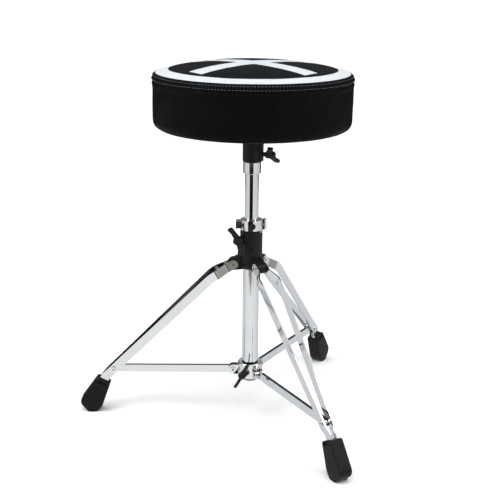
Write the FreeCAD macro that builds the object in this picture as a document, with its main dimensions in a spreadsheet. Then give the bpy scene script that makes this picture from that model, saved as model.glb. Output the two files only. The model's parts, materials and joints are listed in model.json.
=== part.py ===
import FreeCAD, Part
import math
import os
import re
import Sketcher

# Drum throne: round padded seat on a sliding post, hub housing with a memory lock, and a folding
# tripod of double-strap legs whose braces run to a sliding spreader collar.
# Millimetres. +Z is up, the origin is the post's axis at floor level, and the first leg points to -X.

Vector = FreeCAD.Vector
ORIGIN = Vector(0, 0, 0)
UP = Vector(0, 0, 1)
LEG_TURNS = {1: 180.0, 2: 60.0, 3: 300.0}
EPSILON = 0.01

SIZES = {
    # seat
    "seat_radius": 176.5,
    "seat_bottom": 549.0,
    "seat_rim": 636.0,
    "seat_ring_level": 652.3,
    "seat_crown": 666.5,
    "seat_crown_radius": 89.0,
    "seat_crown_drop": 4.4,
    "seat_ring_radius": 148.0,
    "seat_rim_round": 12.0,
    "seat_bottom_round": 16.0,
    "shoulder_reach": 14.0,
    "shoulder_drop": 4.0,
    "cover_thick": 1.5,
    "cover_side_thick": 2.5,
    "cover_rim_drop": 7.0,
    "foam_gap": 0.3,
    "foam_lift": 4.0,
    "hem_inner_radius": 142.0,
    "board_radius": 167.5,
    "board_thick": 12.0,
    "board_bevel_in": 9.0,
    "board_bevel_up": 8.0,
    # bracket and socket under the seat
    "plate_width": 116.0,
    "plate_corner": 14.0,
    "plate_thick": 3.0,
    "screw_offset": 42.0,
    "screw_radius": 3.0,
    "screw_head_radius": 5.5,
    "screw_head_thick": 3.2,
    "tee_barrel_radius": 4.2,
    "tee_flange_radius": 9.0,
    "tee_flange_thick": 1.4,
    "socket_radius": 17.3,
    "socket_bore": 12.76,
    "socket_bottom": 488.0,
    "socket_boss_width": 15.0,
    "socket_boss_reach": 19.8,
    "socket_boss_turn": -20.0,
    "socket_boss_low": 489.5,
    "socket_boss_high": 540.0,
    "socket_chamfer": 1.2,
    "soft_edge": 3.0,
    "seat_screw_level": 502.0,
    # post
    "post_radius": 12.7,
    "post_bore": 10.9,
    "post_bottom": 196.0,
    "post_top": 540.0,
    "sleeve_radius": 16.0,
    "sleeve_bottom": 466.0,
    "sleeve_gap": 0.3,
    "sleeve_chamfer": 1.5,
    "sleeve_top_chamfer": 0.6,
    "plug_rim": 0.4,
    "plug_taper": 1.6,
    "plug_flange": 3.0,
    "plug_depth": 16.0,
    # memory lock
    "lock_bottom": 362.4,
    "lock_height": 18.6,
    "lock_radius": 20.0,
    "lock_bore": 13.0,
    "lock_split": 1.0,
    "lock_hinge_x": 23.5,
    "lock_hinge_radius": 4.2,
    "lock_pin_radius": 1.9,
    "lock_pin_clear": 0.08,
    "lock_pin_rim": 1.1,
    "lock_pin_head": 1.4,
    "lock_knuckle_gap": 0.25,
    "lock_knuckle_clear": 0.3,
    "lock_knuckle_root": 4.0,
    "lock_ear_reach": 28.5,
    "lock_ear_height": 13.0,
    "lock_ear_thick": 8.5,
    "lock_bolt_x": 22.5,
    "lock_bolt_radius": 2.9,
    "lock_bolt_clear": 0.1,
    "lock_bolt_extra": 5.0,
    "lock_washer_rim": 1.6,
    "lock_washer_thick": 1.5,
    "lock_key_side": 5.6,
    "lock_key_length": 6.0,
    "lock_boss_radius": 5.2,
    "lock_tab_width": 4.6,
    "lock_tab_depth": 4.0,
    "lock_tab_clear": 0.2,
    "lock_tab_inset": 1.2,
    "lock_tab_root": 4.0,
    "lock_ear_root": 14.0,
    "lock_boss_x": 2.5,
    "lock_boss_rise": 2.0,
    "lock_dimple_radius": 2.2,
    "lock_dimple_depth": 1.5,
    "lock_jaw_play": 0.9,
    "lock_tab_turn": 330.0,
    # hub housing
    "hub_bottom": 289.0,
    "hub_top": 362.0,
    "hub_radius": 20.5,
    "hub_foot_in": 3.0,
    "hub_foot_up": 4.0,
    "hub_top_chamfer": 1.5,
    "lug_under_rise": 3.0,
    "lug_web_rise": 6.0,
    "hub_boss_turn": 222.0,
    "hub_boss_level": 345.0,
    "hub_boss_radius": 8.5,
    "hub_boss_reach": 23.5,
    "hub_gusset_low": 313.0,
    "gusset_root": 6.0,
    "gusset_skin": 0.5,
    "gusset_inset": 2.0,
    "gusset_half": 4.0,
    "gusset_width": 12.75,
    "stud_radius": 4.0,
    "stud_hole": 4.1,
    "stud_tip": 13.0,
    "stud_chamfer": 1.0,
    "bush_bottom": 335.0,
    "bush_bore": 12.77,
    "set_screw_turn": 235.0,
    "set_screw_level": 300.0,
    "set_screw_upper": 330.0,
    "set_screw_upper_turn": 270.0,
    "set_screw_radius": 2.6,
    "set_screw_recess": 1.0,
    "hex_radius": 1.43,
    "hex_depth": 2.0,
    # base tube
    "tube_radius": 15.0,
    "tube_bore": 13.5,
    "tube_bottom": 71.0,
    "cap_thick": 3.0,
    "cap_taper": 1.2,
    "cap_wall": 2.0,
    # legs: strap centre line in the plane of the leg
    "pivot_x": 32.0,
    "pivot_z": 297.0,
    "knee_x": 71.8,
    "knee_z": 273.5,
    "rivet_x": 258.0,
    "rivet_z": 86.5,
    "foot_top_x": 277.5,
    "foot_top_z": 63.0,
    "strap_width": 16.5,
    "strap_thick": 2.5,
    "knee_round": 60.0,
    "toe_round": 40.0,
    # along the strap: where it flares out past the lug, and is flat at the rivet and above the foot
    "flare_start": 15.0,
    "flare_end": 34.0,
    "rivet_flat": 28.0,
    "rivet_flat_below": 8.0,
    "foot_join": 12.0,
    "strap_end_gap": 1.0,
    # half spacing of the two straps along the leg
    "lug_width": 17.0,
    "strap_gap": 0.3,
    "spread_half": 19.8,
    "rivet_half": 8.6,
    "foot_half": 4.9,
    "pin_radius": 4.0,
    "pin_head_radius": 5.4,
    "pin_head_thick": 1.6,
    "pin_hollow": 2.2,
    "pin_clear": 0.06,
    "rivet_wall": 0.7,
    "rivet_blind": 1.0,
    "lug_end_radius": 11.0,
    # foot
    "foot_lean": 64.0,
    "foot_length": 62.0,
    "foot_top_width": 27.5,
    "foot_heel_x": 281.5,
    "foot_heel_z": 10.5,
    "foot_toe_x": 325.5,
    "foot_toe_z": 19.2,
    "foot_shoulder_z": 24.8,
    "foot_thick": 26.0,
    "foot_round": 4.5,
    "toe_corner": 13.0,
    "sole_heel": 9.5,
    "sole_toe": 7.5,
    "sole_x": 301.0,
    "foot_slot_depth": 34.0,
    "foot_slot_over": 8.0,
    "foot_slot_clear": 0.15,
    "foot_slot_end": 0.5,
    "insert_inset": 1.0,
    "insert_short": 4.0,
    # braces and spreader collar
    "collar_pivot_z": 88.0,
    "brace_height": 14.0,
    "brace_width": 7.0,
    "brace_wall": 1.5,
    "brace_hole": 3.55,
    "brace_pin": 3.5,
    "brace_pin_head": 5.0,
    "ear_gap": 0.4,
    "ear_thick": 3.0,
    "ear_end_radius": 9.0,
    "collar_bottom": 73.5,
    "collar_top": 103.5,
    "collar_radius": 23.5,
    "collar_chamfer": 2.0,
    "collar_draft": 0.7,
    "collar_bore": 15.08,
    "collar_cup_radius": 20.0,
    "collar_cup_depth": 5.0,
    "collar_boss_turn": 248.0,
    "collar_boss_radius": 8.5,
    "collar_boss_reach": 27.5,
    # wing screws
    "seat_knob_gap": 6.2,
    "knob_gap": 0.6,
    "knob_radius": 6.8,
    "knob_length": 17.0,
    "knob_chamfer": 1.0,
    "knob_crown_in": 2.5,
    "knob_crown_drop": 3.0,
    "knob_floor": 3.0,
    "wing_reach": 27.0,
    "wing_thick": 4.8,
    "wing_tip_width": 12.0,
    "wing_start": 2.0,
    "wing_tip_start": 10.0,
    "wing_waist_reach": 16.2,
    "wing_waist_low": 6.4,
    "wing_waist_high": 15.2,
    "seat_wing_roll": 54.0,
    "post_wing_roll": 216.0,
    "collar_wing_roll": 153.0,
}

doc = FreeCAD.newDocument("drum_throne")
sheet = doc.addObject("Spreadsheet::Sheet", "Sizes")
for row, (alias, size) in enumerate(SIZES.items(), 1):
    sheet.set(f"A{row}", alias)
    sheet.set(f"B{row}", str(size))
    sheet.setAlias(f"B{row}", alias)
doc.recompute()

finished = []


# ---------------------------------------------------------------- sheet and sketch helpers

def linked(formula):
    """Give each size name in a formula the sheet's name, as FreeCAD's expressions need."""
    def with_sheet(word):
        return "Sizes." + word.group(0) if word.group(0) in SIZES else word.group(0)
    return re.sub(r"[a-z][a-z_]*", with_sheet, formula)


def number(formula):
    return float(sheet.evalExpression(linked(formula)))


def bind(thing, **formulas):
    for name, formula in formulas.items():
        thing.setExpression(name, linked(formula))
    return thing


def turned_about_post(degrees):
    return FreeCAD.Placement(ORIGIN, FreeCAD.Rotation(UP, degrees))


def finish(thing, label=None, placement=None):
    """Name a sub-part and list it for export."""
    if label:
        thing.Label = label
    if placement:
        thing.Placement = placement
    finished.append(thing)
    return thing


def new_body(label, placement=None):
    return finish(doc.addObject("PartDesign::Body", label), label, placement)


def origin_feature(body, role):
    return next(feature for feature in body.Origin.OriginFeatures if feature.Role == role)


def new_sketch(body, role, shift="0", turn=0.0):
    """Empty sketch on an origin plane, moved along its normal or turned about its own Y."""
    sketch = body.newObject("Sketcher::SketchObject", body.Label + "_sketch")
    sketch.AttachmentSupport = [(origin_feature(body, role), "")]
    sketch.MapMode = "FlatFace"
    sketch.AttachmentOffset = FreeCAD.Placement(ORIGIN, FreeCAD.Rotation(Vector(0, 1, 0), turn))
    bind(sketch, **{"AttachmentOffset.Base.z": shift})
    return sketch


def hold_point(sketch, line, end, across, along):
    """Fix one end of a line, or the centre of a circle, to two formulas."""
    for kind, formula in (("DistanceX", across), ("DistanceY", along)):
        index = sketch.addConstraint(Sketcher.Constraint(kind, -1, 1, line, end, number(formula)))
        bind(sketch, **{f"Constraints[{index}]": formula})


def add_polygon(sketch, corners):
    first = sketch.GeometryCount
    places = [Vector(number(across), number(along), 0) for across, along in corners]
    count = len(places)
    for index, place in enumerate(places):
        sketch.addGeometry(Part.LineSegment(place, places[(index + 1) % count]), False)
    for index in range(count):
        following = first + (index + 1) % count
        sketch.addConstraint(Sketcher.Constraint("Coincident", first + index, 2, following, 1))
    for index, (across, along) in enumerate(corners):
        hold_point(sketch, first + index, 1, across, along)
    return sketch


def add_circle(sketch, across, along, radius):
    centre = Vector(number(across), number(along), 0)
    index = sketch.addGeometry(Part.Circle(centre, UP, number(radius)), False)
    hold_point(sketch, index, 3, across, along)
    radius_index = sketch.addConstraint(Sketcher.Constraint("Radius", index, number(radius)))
    bind(sketch, **{f"Constraints[{radius_index}]": radius})
    return sketch


def rectangle(low_x, high_x, low_y, high_y):
    return [(low_x, low_y), (high_x, low_y), (high_x, high_y), (low_x, high_y)]


# ---------------------------------------------------------------- feature helpers

def revolve(body, corners, kind="PartDesign::Revolution"):
    """Turn a half section, given as (radius, height) corners, about the body's Z axis."""
    sketch = add_polygon(new_sketch(body, "XZ_Plane"), corners)
    feature = body.newObject(kind, body.Label + "_turned")
    feature.Profile = sketch
    feature.ReferenceAxis = (sketch, ["V_Axis"])
    feature.Angle = 360
    doc.recompute()
    return feature


def pad(body, sketch, length, symmetric=False):
    feature = body.newObject("PartDesign::Pad", body.Label + "_pad")
    feature.Profile = sketch
    feature.SideType = "Symmetric" if symmetric else "One side"
    bind(feature, Length=length)
    doc.recompute()
    return feature


def pocket(body, sketch, length=None, forward=False):
    """Cut a sketch out: both ways through everything, or to a depth behind or in front of its plane."""
    before = body.Shape.Volume
    feature = body.newObject("PartDesign::Pocket", body.Label + "_pocket")
    feature.Profile = sketch
    if length is None:
        feature.Type = "ThroughAll"
        feature.SideType = "Symmetric"
    else:
        bind(feature, Length=length)
        feature.Reversed = forward
    doc.recompute()
    if body.Shape.Volume > before - EPSILON:
        raise RuntimeError(body.Label + ": a pocket cuts nothing")
    return feature


def leg_plane_sketch(body):
    """Sketch in the upright plane of the first leg, for what is then repeated at each leg."""
    return new_sketch(body, "XZ_Plane", turn=LEG_TURNS[1])


def round_about_post(body, features, count=3):
    pattern = body.newObject("PartDesign::PolarPattern", body.Label + "_round")
    pattern.Originals = features
    pattern.Axis = (origin_feature(body, "Z_Axis"), [""])
    pattern.Angle = 360
    pattern.Occurrences = count
    body.Tip = pattern
    doc.recompute()
    return pattern


def dress_edges(body, kind, size_name, chosen):
    """Fillet or chamfer the edges for which chosen(edge) is true."""
    base = body.Tip
    names = [f"Edge{index}" for index, edge in enumerate(base.Shape.Edges, 1) if chosen(edge)]
    if not names:
        raise RuntimeError(body.Label + ": no edge to dress")
    feature = body.newObject("PartDesign::" + kind, body.Label + "_" + kind.lower())
    feature.Base = (base, names)
    bind(feature, **{"Radius" if kind == "Fillet" else "Size": size_name})
    doc.recompute()
    return feature


def turned_part(label, corners, placement=None):
    body = new_body(label, placement)
    revolve(body, corners)
    return body


def ring(inner, outer, low, high):
    return rectangle(inner, outer, low, high)


def cylinder(radius, height, base, axis=UP, name="rod"):
    rod = doc.addObject("Part::Cylinder", name)
    bind(rod, Radius=radius, Height=height)
    rod.Placement = FreeCAD.Placement(base, FreeCAD.Rotation(UP, axis))
    return rod


def box(length, width, height, corner, name="block"):
    block = doc.addObject("Part::Box", name)
    bind(block, Length=length, Width=width, Height=height)
    block.Placement = FreeCAD.Placement(corner, FreeCAD.Rotation())
    return block


def fuse(shapes, name="joined"):
    whole = doc.addObject("Part::MultiFuse", name)
    whole.Shapes = shapes
    return whole


def cut(base, tools, name="cut"):
    result = doc.addObject("Part::Cut", name)
    result.Base = base
    result.Tool = tools[0] if len(tools) == 1 else fuse(tools)
    return result


# ---------------------------------------------------------------- seat

def make_seat():
    cover = new_body("seat_cover")
    revolve(cover, [
        ("0", "seat_bottom"),
        ("seat_radius", "seat_bottom"),
        ("seat_radius", "seat_rim"),
        ("seat_ring_radius + shoulder_reach", "seat_ring_level - shoulder_drop"),
        ("seat_ring_radius", "seat_ring_level"),
        ("seat_crown_radius", "seat_crown - seat_crown_drop"),
        ("0", "seat_crown"),
    ])

    def at_level(formula):
        return lambda edge: (abs(edge.BoundBox.ZMin - number(formula)) < EPSILON
                             and edge.BoundBox.ZLength < EPSILON)

    dress_edges(cover, "Fillet", "seat_bottom_round", at_level("seat_bottom"))
    dress_edges(cover, "Fillet", "seat_rim_round", at_level("seat_rim"))
    inside = [
        ("hem_inner_radius", "seat_bottom + cover_thick"),
        ("board_radius - board_bevel_in + 1", "seat_bottom + cover_thick"),
        ("seat_radius - cover_side_thick", "seat_bottom + seat_bottom_round"),
        ("seat_radius - cover_side_thick", "seat_rim - cover_rim_drop"),
        ("seat_ring_radius + shoulder_reach", "seat_ring_level - shoulder_drop - cover_side_thick"),
        ("seat_ring_radius", "seat_ring_level - cover_thick"),
        ("seat_crown_radius", "seat_crown - seat_crown_drop - cover_thick"),
        ("0", "seat_crown - cover_thick"),
    ]
    revolve(cover, [("0", "seat_bottom - 1"), ("hem_inner_radius", "seat_bottom - 1")] + inside,
            "PartDesign::Groove")

    turned_part("seat_foam", [
        ("0", "seat_bottom + cover_thick + board_thick + tee_flange_thick + foam_gap"),
        ("seat_radius - cover_side_thick - foam_gap",
         "seat_bottom + cover_thick + board_thick + foam_lift"),
        ("seat_radius - cover_side_thick - foam_gap", "seat_rim - cover_rim_drop - foam_gap"),
        ("seat_ring_radius + shoulder_reach",
         "seat_ring_level - shoulder_drop - cover_side_thick - foam_gap"),
        ("seat_ring_radius", "seat_ring_level - cover_thick - foam_gap"),
        ("seat_crown_radius", "seat_crown - seat_crown_drop - cover_thick - foam_gap"),
        ("0", "seat_crown - cover_thick - foam_gap"),
    ])

    board = new_body("seat_board")
    revolve(board, [
        ("0", "seat_bottom + cover_thick"),
        ("board_radius - board_bevel_in", "seat_bottom + cover_thick"),
        ("board_radius", "seat_bottom + cover_thick + board_bevel_up"),
        ("board_radius", "seat_bottom + cover_thick + board_thick"),
        ("0", "seat_bottom + cover_thick + board_thick"),
    ])
    holes = new_sketch(board, "XY_Plane")
    for across in ("-screw_offset", "screw_offset"):
        for along in ("-screw_offset", "screw_offset"):
            add_circle(holes, across, along, "tee_barrel_radius")
    pocket(board, holes)


def make_seat_hardware():
    underside = number("seat_bottom + cover_thick")
    offset = number("screw_offset")
    corners = [Vector(x, y, 0) for x in (-offset, offset) for y in (-offset, offset)]

    plate = new_body("seat_bracket")
    outline = new_sketch(plate, "XY_Plane", "seat_bottom + cover_thick - plate_thick")
    half = "plate_width / 2"
    add_polygon(outline, rectangle("-" + half, half, "-" + half, half))
    pad(plate, outline, "plate_thick")
    dress_edges(plate, "Fillet", "plate_corner",
                lambda edge: edge.BoundBox.XLength < EPSILON and edge.BoundBox.YLength < EPSILON)
    holes = new_sketch(plate, "XY_Plane")
    for across in ("-screw_offset", "screw_offset"):
        for along in ("-screw_offset", "screw_offset"):
            add_circle(holes, across, along, "screw_radius + 0.3")
    pocket(plate, holes)

    socket = new_body("seat_socket")
    revolve(socket, ring("0", "socket_radius", "socket_bottom",
                         "seat_bottom + cover_thick - plate_thick"))
    boss_turn = number("socket_boss_turn")
    boss = new_sketch(socket, "YZ_Plane", turn=boss_turn)
    add_polygon(boss, rectangle("-socket_boss_width / 2", "socket_boss_width / 2",
                                "socket_boss_low", "socket_boss_high"))
    pad(socket, boss, "socket_boss_reach")
    low = number("socket_bottom")
    dress_edges(socket, "Chamfer", "socket_chamfer",
                lambda edge: abs(edge.BoundBox.ZMax - low) < EPSILON and edge.BoundBox.XLength > 1)
    reach = number("socket_boss_reach")
    dress_edges(socket, "Fillet", "soft_edge",
                lambda edge: edge.BoundBox.XLength < EPSILON and edge.BoundBox.YLength < EPSILON
                and math.hypot(edge.BoundBox.XMin, edge.BoundBox.YMin) > reach - EPSILON)
    bore = add_circle(new_sketch(socket, "XY_Plane", "socket_bottom - 1"), "0", "0", "socket_bore")
    pocket(socket, bore, "post_top - socket_bottom + 5", forward=True)
    stud_way = new_sketch(socket, "YZ_Plane", turn=boss_turn)
    pocket(socket, add_circle(stud_way, "0", "seat_screw_level", "stud_hole"),
           "socket_boss_reach + 5", forward=True)

    screws = []
    nuts = []
    for corner in corners:
        head_top = underside - number("plate_thick")
        screws.append(cylinder("screw_head_radius", "screw_head_thick",
                               corner + UP * (head_top - number("screw_head_thick"))))
        screws.append(cylinder("screw_radius", "plate_thick + board_thick - 1", corner + UP * head_top))
        barrel = cylinder("tee_barrel_radius", "board_thick - 1", corner + UP * (underside + 1))
        flange = cylinder("tee_flange_radius", "tee_flange_thick",
                          corner + UP * (underside + number("board_thick")))
        bore = cylinder("screw_radius", "board_thick + 5", corner + UP * (underside - 1))
        nuts.append(cut(fuse([barrel, flange]), [bore], "tee_nut"))
    finish(fuse(screws, "screws"), "bracket_screws")
    finish(fuse(nuts, "nuts"), "tee_nuts")


# ---------------------------------------------------------------- post

def make_post():
    turned_part("seat_post", ring("post_bore", "post_radius", "post_bottom", "post_top"))
    turned_part("stop_sleeve", [
        ("post_radius", "sleeve_bottom"),
        ("sleeve_radius - sleeve_chamfer", "sleeve_bottom"),
        ("sleeve_radius", "sleeve_bottom + sleeve_chamfer"),
        ("sleeve_radius", "socket_bottom - sleeve_gap - sleeve_top_chamfer"),
        ("sleeve_radius - sleeve_top_chamfer", "socket_bottom - sleeve_gap"),
        ("post_radius", "socket_bottom - sleeve_gap"),
    ])
    turned_part("post_top_plug", [
        ("0", "post_top - plug_depth"),
        ("post_bore", "post_top - plug_depth"),
        ("post_bore", "post_top"),
        ("post_radius - plug_rim", "post_top"),
        ("post_radius - plug_taper", "post_top + plug_flange"),
        ("0", "post_top + plug_flange"),
    ])
    turned_part("post_bottom_plug", [
        ("0", "post_bottom - plug_flange"),
        ("post_radius - plug_taper", "post_bottom - plug_flange"),
        ("post_radius - plug_rim", "post_bottom"),
        ("post_bore", "post_bottom"),
        ("post_bore", "post_bottom + plug_depth"),
        ("0", "post_bottom + plug_depth"),
    ])


# ---------------------------------------------------------------- memory lock

def half_ring(start_degrees, name):
    """Half of the lock's ring as a sector of a cylinder, less a hair at each end of the split."""
    sector = doc.addObject("Part::Cylinder", name)
    bind(sector, Radius="lock_radius", Height="lock_height", Angle="180")
    sector.Placement = FreeCAD.Placement(UP * number("lock_bottom"),
                                         FreeCAD.Rotation(UP, start_degrees))
    return sector


def make_memory_lock():
    low = number("lock_bottom")
    height = number("lock_height")
    middle = low + height / 2
    split = number("lock_split") / 2
    ear = number("lock_ear_thick")
    ear_low = middle - number("lock_ear_height") / 2
    reach = number("lock_ear_reach")
    hinge = Vector(number("lock_hinge_x"), 0, low)
    bolt_x = -number("lock_bolt_x")
    whole_width = 4 * reach

    def bore():
        return cylinder("lock_bore", "3 * lock_height", UP * (low - height))

    def split_slab():
        return box(str(whole_width), "lock_split", "3 * lock_height",
                   Vector(-whole_width / 2, -split, low - height))

    def bolt_hole(radius="lock_bolt_radius + lock_bolt_clear"):
        return cylinder(radius, "4 * lock_ear_thick", Vector(bolt_x, 2 * ear, middle), Vector(0, -1, 0))

    # the hinge has three knuckles: the outer two on the front half, the middle one on the jaw
    third = height / 3
    gap = number("lock_knuckle_gap")
    web = number("lock_hinge_x - lock_radius + lock_knuckle_root")

    def knuckle(bottom, tall, side):
        barrel = cylinder("lock_hinge_radius", str(tall), Vector(hinge.x, 0, bottom))
        arm = box(str(web), "lock_hinge_radius", str(tall),
                  Vector(hinge.x - web, 0 if side > 0 else -number("lock_hinge_radius"), bottom))
        return [barrel, arm]

    def knuckle_room(bottom, tall):
        return cylinder("lock_hinge_radius + lock_knuckle_clear", str(tall), Vector(hinge.x, 0, bottom))

    def pin_hole():
        return cylinder("lock_pin_radius + lock_pin_clear", "3 * lock_height", hinge - UP * height)

    def tapped_ear(near_y):
        return box("lock_ear_reach - lock_ear_root", "lock_ear_thick", "lock_ear_height",
                   Vector(-reach, near_y, ear_low))

    # front half: it carries the bolt boss, the outer knuckles and the locating tab
    tab = box("lock_radius - lock_bore - lock_tab_inset", "lock_tab_width",
              "lock_tab_depth + lock_tab_root",
              Vector(number("lock_bore + lock_tab_inset"), -number("lock_tab_width") / 2,
                     -number("lock_tab_depth")))
    tab.Placement = FreeCAD.Placement(UP * low, FreeCAD.Rotation(UP, number("lock_tab_turn"))).multiply(
        tab.Placement)
    boss_axis = Vector(number("lock_boss_x"), -number("lock_bore"), middle)
    boss = cylinder("lock_boss_radius", "lock_radius - lock_bore + lock_boss_rise", boss_axis,
                    Vector(0, -1, 0))
    boss_face = Vector(boss_axis.x, -number("lock_radius + lock_boss_rise - lock_dimple_depth"), middle)
    dimple = cylinder("lock_dimple_radius", "2 * lock_dimple_depth", boss_face, Vector(0, -1, 0))
    front_tools = [bore(), split_slab(), bolt_hole(), dimple,
                   knuckle_room(low + third - gap, third + 2 * gap)]
    front_ring = cut(fuse([half_ring(180, "front_ring"), tapped_ear(-split - ear), boss, tab]),
                     front_tools, "front_half")
    front = fuse([front_ring] + knuckle(low, third - gap, -1)
                 + knuckle(low + 2 * third + gap, third - gap, -1), "front_with_knuckles")
    finish(cut(front, [pin_hole(), bore()], "lock_front"), "lock_collar")

    # rear half: the jaw, which swings on the middle knuckle; its bolt hole is a wide one
    rear_tools = [bore(), split_slab(), bolt_hole("lock_bolt_radius + lock_jaw_play"),
                  knuckle_room(low - 1, third + 1 + gap),
                  knuckle_room(low + 2 * third - gap, third + 1 + gap)]
    rear_ring = cut(fuse([half_ring(0, "rear_ring"), tapped_ear(split)]), rear_tools, "rear_half")
    rear = fuse([rear_ring] + knuckle(low + third + gap, third - 2 * gap, 1), "rear_with_knuckle")
    finish(cut(rear, [pin_hole(), bore()], "lock_rear"), "lock_jaw")

    pin = fuse([cylinder("lock_pin_radius", "lock_height + 1", hinge),
                cylinder("lock_pin_radius + lock_pin_rim", "lock_pin_head", hinge + UP * (height + 0.1))],
               "hinge_pin")
    finish(pin, "lock_hinge_pin")
    head_y = -split - ear - 0.2
    shank = cylinder("lock_bolt_radius", "2 * lock_ear_thick + lock_split + lock_bolt_extra",
                     Vector(bolt_x, head_y, middle), Vector(0, 1, 0))
    washer = cylinder("lock_bolt_radius + lock_washer_rim", "lock_washer_thick",
                      Vector(bolt_x, head_y, middle), Vector(0, -1, 0))
    key_half = number("lock_key_side") / 2
    head_end = head_y - number("lock_washer_thick + lock_key_length") + 0.1
    head = box("lock_key_side", "lock_key_length", "lock_key_side",
               Vector(bolt_x - key_half, head_end, middle - key_half))
    finish(fuse([shank, washer, head], "key_bolt"), "lock_key_bolt")


# ---------------------------------------------------------------- hub housing and base tube

def make_hub():
    hub = new_body("hub_housing")
    revolve(hub, [
        ("0", "hub_bottom"),
        ("hub_radius - hub_foot_in", "hub_bottom"),
        ("hub_radius", "hub_bottom + hub_foot_up"),
        ("hub_radius", "hub_top - hub_top_chamfer"),
        ("hub_radius - hub_top_chamfer", "hub_top"),
        ("0", "hub_top"),
    ])
    web = leg_plane_sketch(hub)
    add_polygon(web, [
        ("0", "pivot_z - lug_end_radius + lug_under_rise"),
        ("pivot_x", "pivot_z - lug_end_radius"),
        ("pivot_x", "pivot_z + lug_end_radius"),
        ("hub_radius - 2", "pivot_z + lug_end_radius + lug_web_rise"),
        ("0", "pivot_z + lug_end_radius + lug_web_rise"),
    ])
    web_pad = pad(hub, web, "lug_width", symmetric=True)
    nose = add_circle(leg_plane_sketch(hub), "pivot_x", "pivot_z", "lug_end_radius")
    nose_pad = pad(hub, nose, "lug_width", symmetric=True)
    round_about_post(hub, [web_pad, nose_pad])

    boss = new_sketch(hub, "YZ_Plane", turn=number("hub_boss_turn"))
    pad(hub, add_circle(boss, "0", "hub_boss_level", "hub_boss_radius"), "hub_boss_reach")
    # a gusset under the boss runs down into the housing's wall
    gusset = new_body_plane_sketch(hub, "hub_boss_turn")
    add_polygon(gusset, [
        ("hub_radius - gusset_root", "hub_gusset_low"),
        ("hub_radius - gusset_skin", "hub_gusset_low"),
        ("hub_boss_reach - gusset_inset", "hub_boss_level - gusset_half"),
        ("hub_boss_reach - gusset_inset", "hub_boss_level + gusset_half"),
        ("hub_radius - gusset_root", "hub_boss_level + gusset_half"),
    ])
    pad(hub, gusset, "gusset_width", symmetric=True)

    pocket(hub, add_circle(new_sketch(hub, "XY_Plane"), "0", "0", "tube_radius"))
    for level, radius, turn in (("hub_boss_level", "stud_hole", "hub_boss_turn"),
                                ("set_screw_level", "set_screw_radius", "set_screw_turn"),
                                ("set_screw_upper", "set_screw_radius", "set_screw_upper_turn")):
        hole = new_sketch(hub, "YZ_Plane", turn=number(turn))
        pocket(hub, add_circle(hole, "0", level, radius), "hub_boss_reach + 5", forward=True)
    pin_holes = add_circle(leg_plane_sketch(hub), "pivot_x", "pivot_z", "pin_radius")
    hole = pocket(hub, pin_holes)
    round_about_post(hub, [hole])
    notch = new_body_plane_sketch(hub, "lock_tab_turn")
    add_polygon(notch, rectangle("tube_radius - 1", "hub_radius + 1",
                                 "hub_top - lock_tab_depth - lock_tab_clear", "hub_top + 1"))
    feature = hub.newObject("PartDesign::Pocket", "lock_notch")
    feature.Profile = notch
    feature.SideType = "Symmetric"
    bind(feature, Length="lock_tab_width + 3 * lock_tab_clear")
    doc.recompute()

    bush = new_body("hub_bush")
    revolve(bush, ring("bush_bore", "tube_radius", "bush_bottom",
                       "hub_top - lock_tab_depth - 2 * lock_tab_clear"))
    bush_hole = new_sketch(bush, "YZ_Plane", turn=number("hub_boss_turn"))
    pocket(bush, add_circle(bush_hole, "0", "hub_boss_level", "stud_hole"), "tube_radius + 5",
           forward=True)

    tube = new_body("base_tube")
    revolve(tube, ring("tube_bore", "tube_radius", "tube_bottom", "bush_bottom"))
    turned_part("base_end_cap", [
        ("0", "tube_bottom - cap_thick"),
        ("tube_radius - cap_taper", "tube_bottom - cap_thick"),
        ("tube_radius - 0.1", "tube_bottom"),
        ("tube_bore", "tube_bottom"),
        ("tube_bore", "tube_bottom + plug_depth"),
        ("tube_bore - cap_wall", "tube_bottom + plug_depth"),
        ("tube_bore - cap_wall", "tube_bottom + cap_wall"),
        ("0", "tube_bottom + cap_wall"),
    ])

    screws = []
    for level, turn in (("set_screw_level", "set_screw_turn"),
                        ("set_screw_upper", "set_screw_upper_turn")):
        screws.append(set_screw(number(level), number(turn)))
    finish(fuse(screws, "grub_screws"), "tube_set_screws")


def new_body_plane_sketch(body, turn_name):
    """Sketch on the upright plane that holds the post's axis and points a given way round it."""
    return new_sketch(body, "XZ_Plane", turn=number(turn_name))


def set_screw(level, turn):
    """Grub screw with a hexagon socket, screwed in radially until it meets the tube."""
    start = number("tube_radius")
    length = number("hub_radius - tube_radius - set_screw_recess")
    outward = FreeCAD.Rotation(UP, turn).multVec(Vector(1, 0, 0))
    shank = cylinder("set_screw_radius", str(length), outward * start + UP * level, outward)
    key = doc.addObject("Part::Prism", "hex_key")
    key.Polygon = 6
    bind(key, Circumradius="hex_radius", Height="hex_depth + 1")
    key.Placement = FreeCAD.Placement(outward * (start + length - number("hex_depth")) + UP * level,
                                      FreeCAD.Rotation(UP, outward))
    return cut(shank, [key], "grub_screw")


# ---------------------------------------------------------------- wing screws

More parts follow.
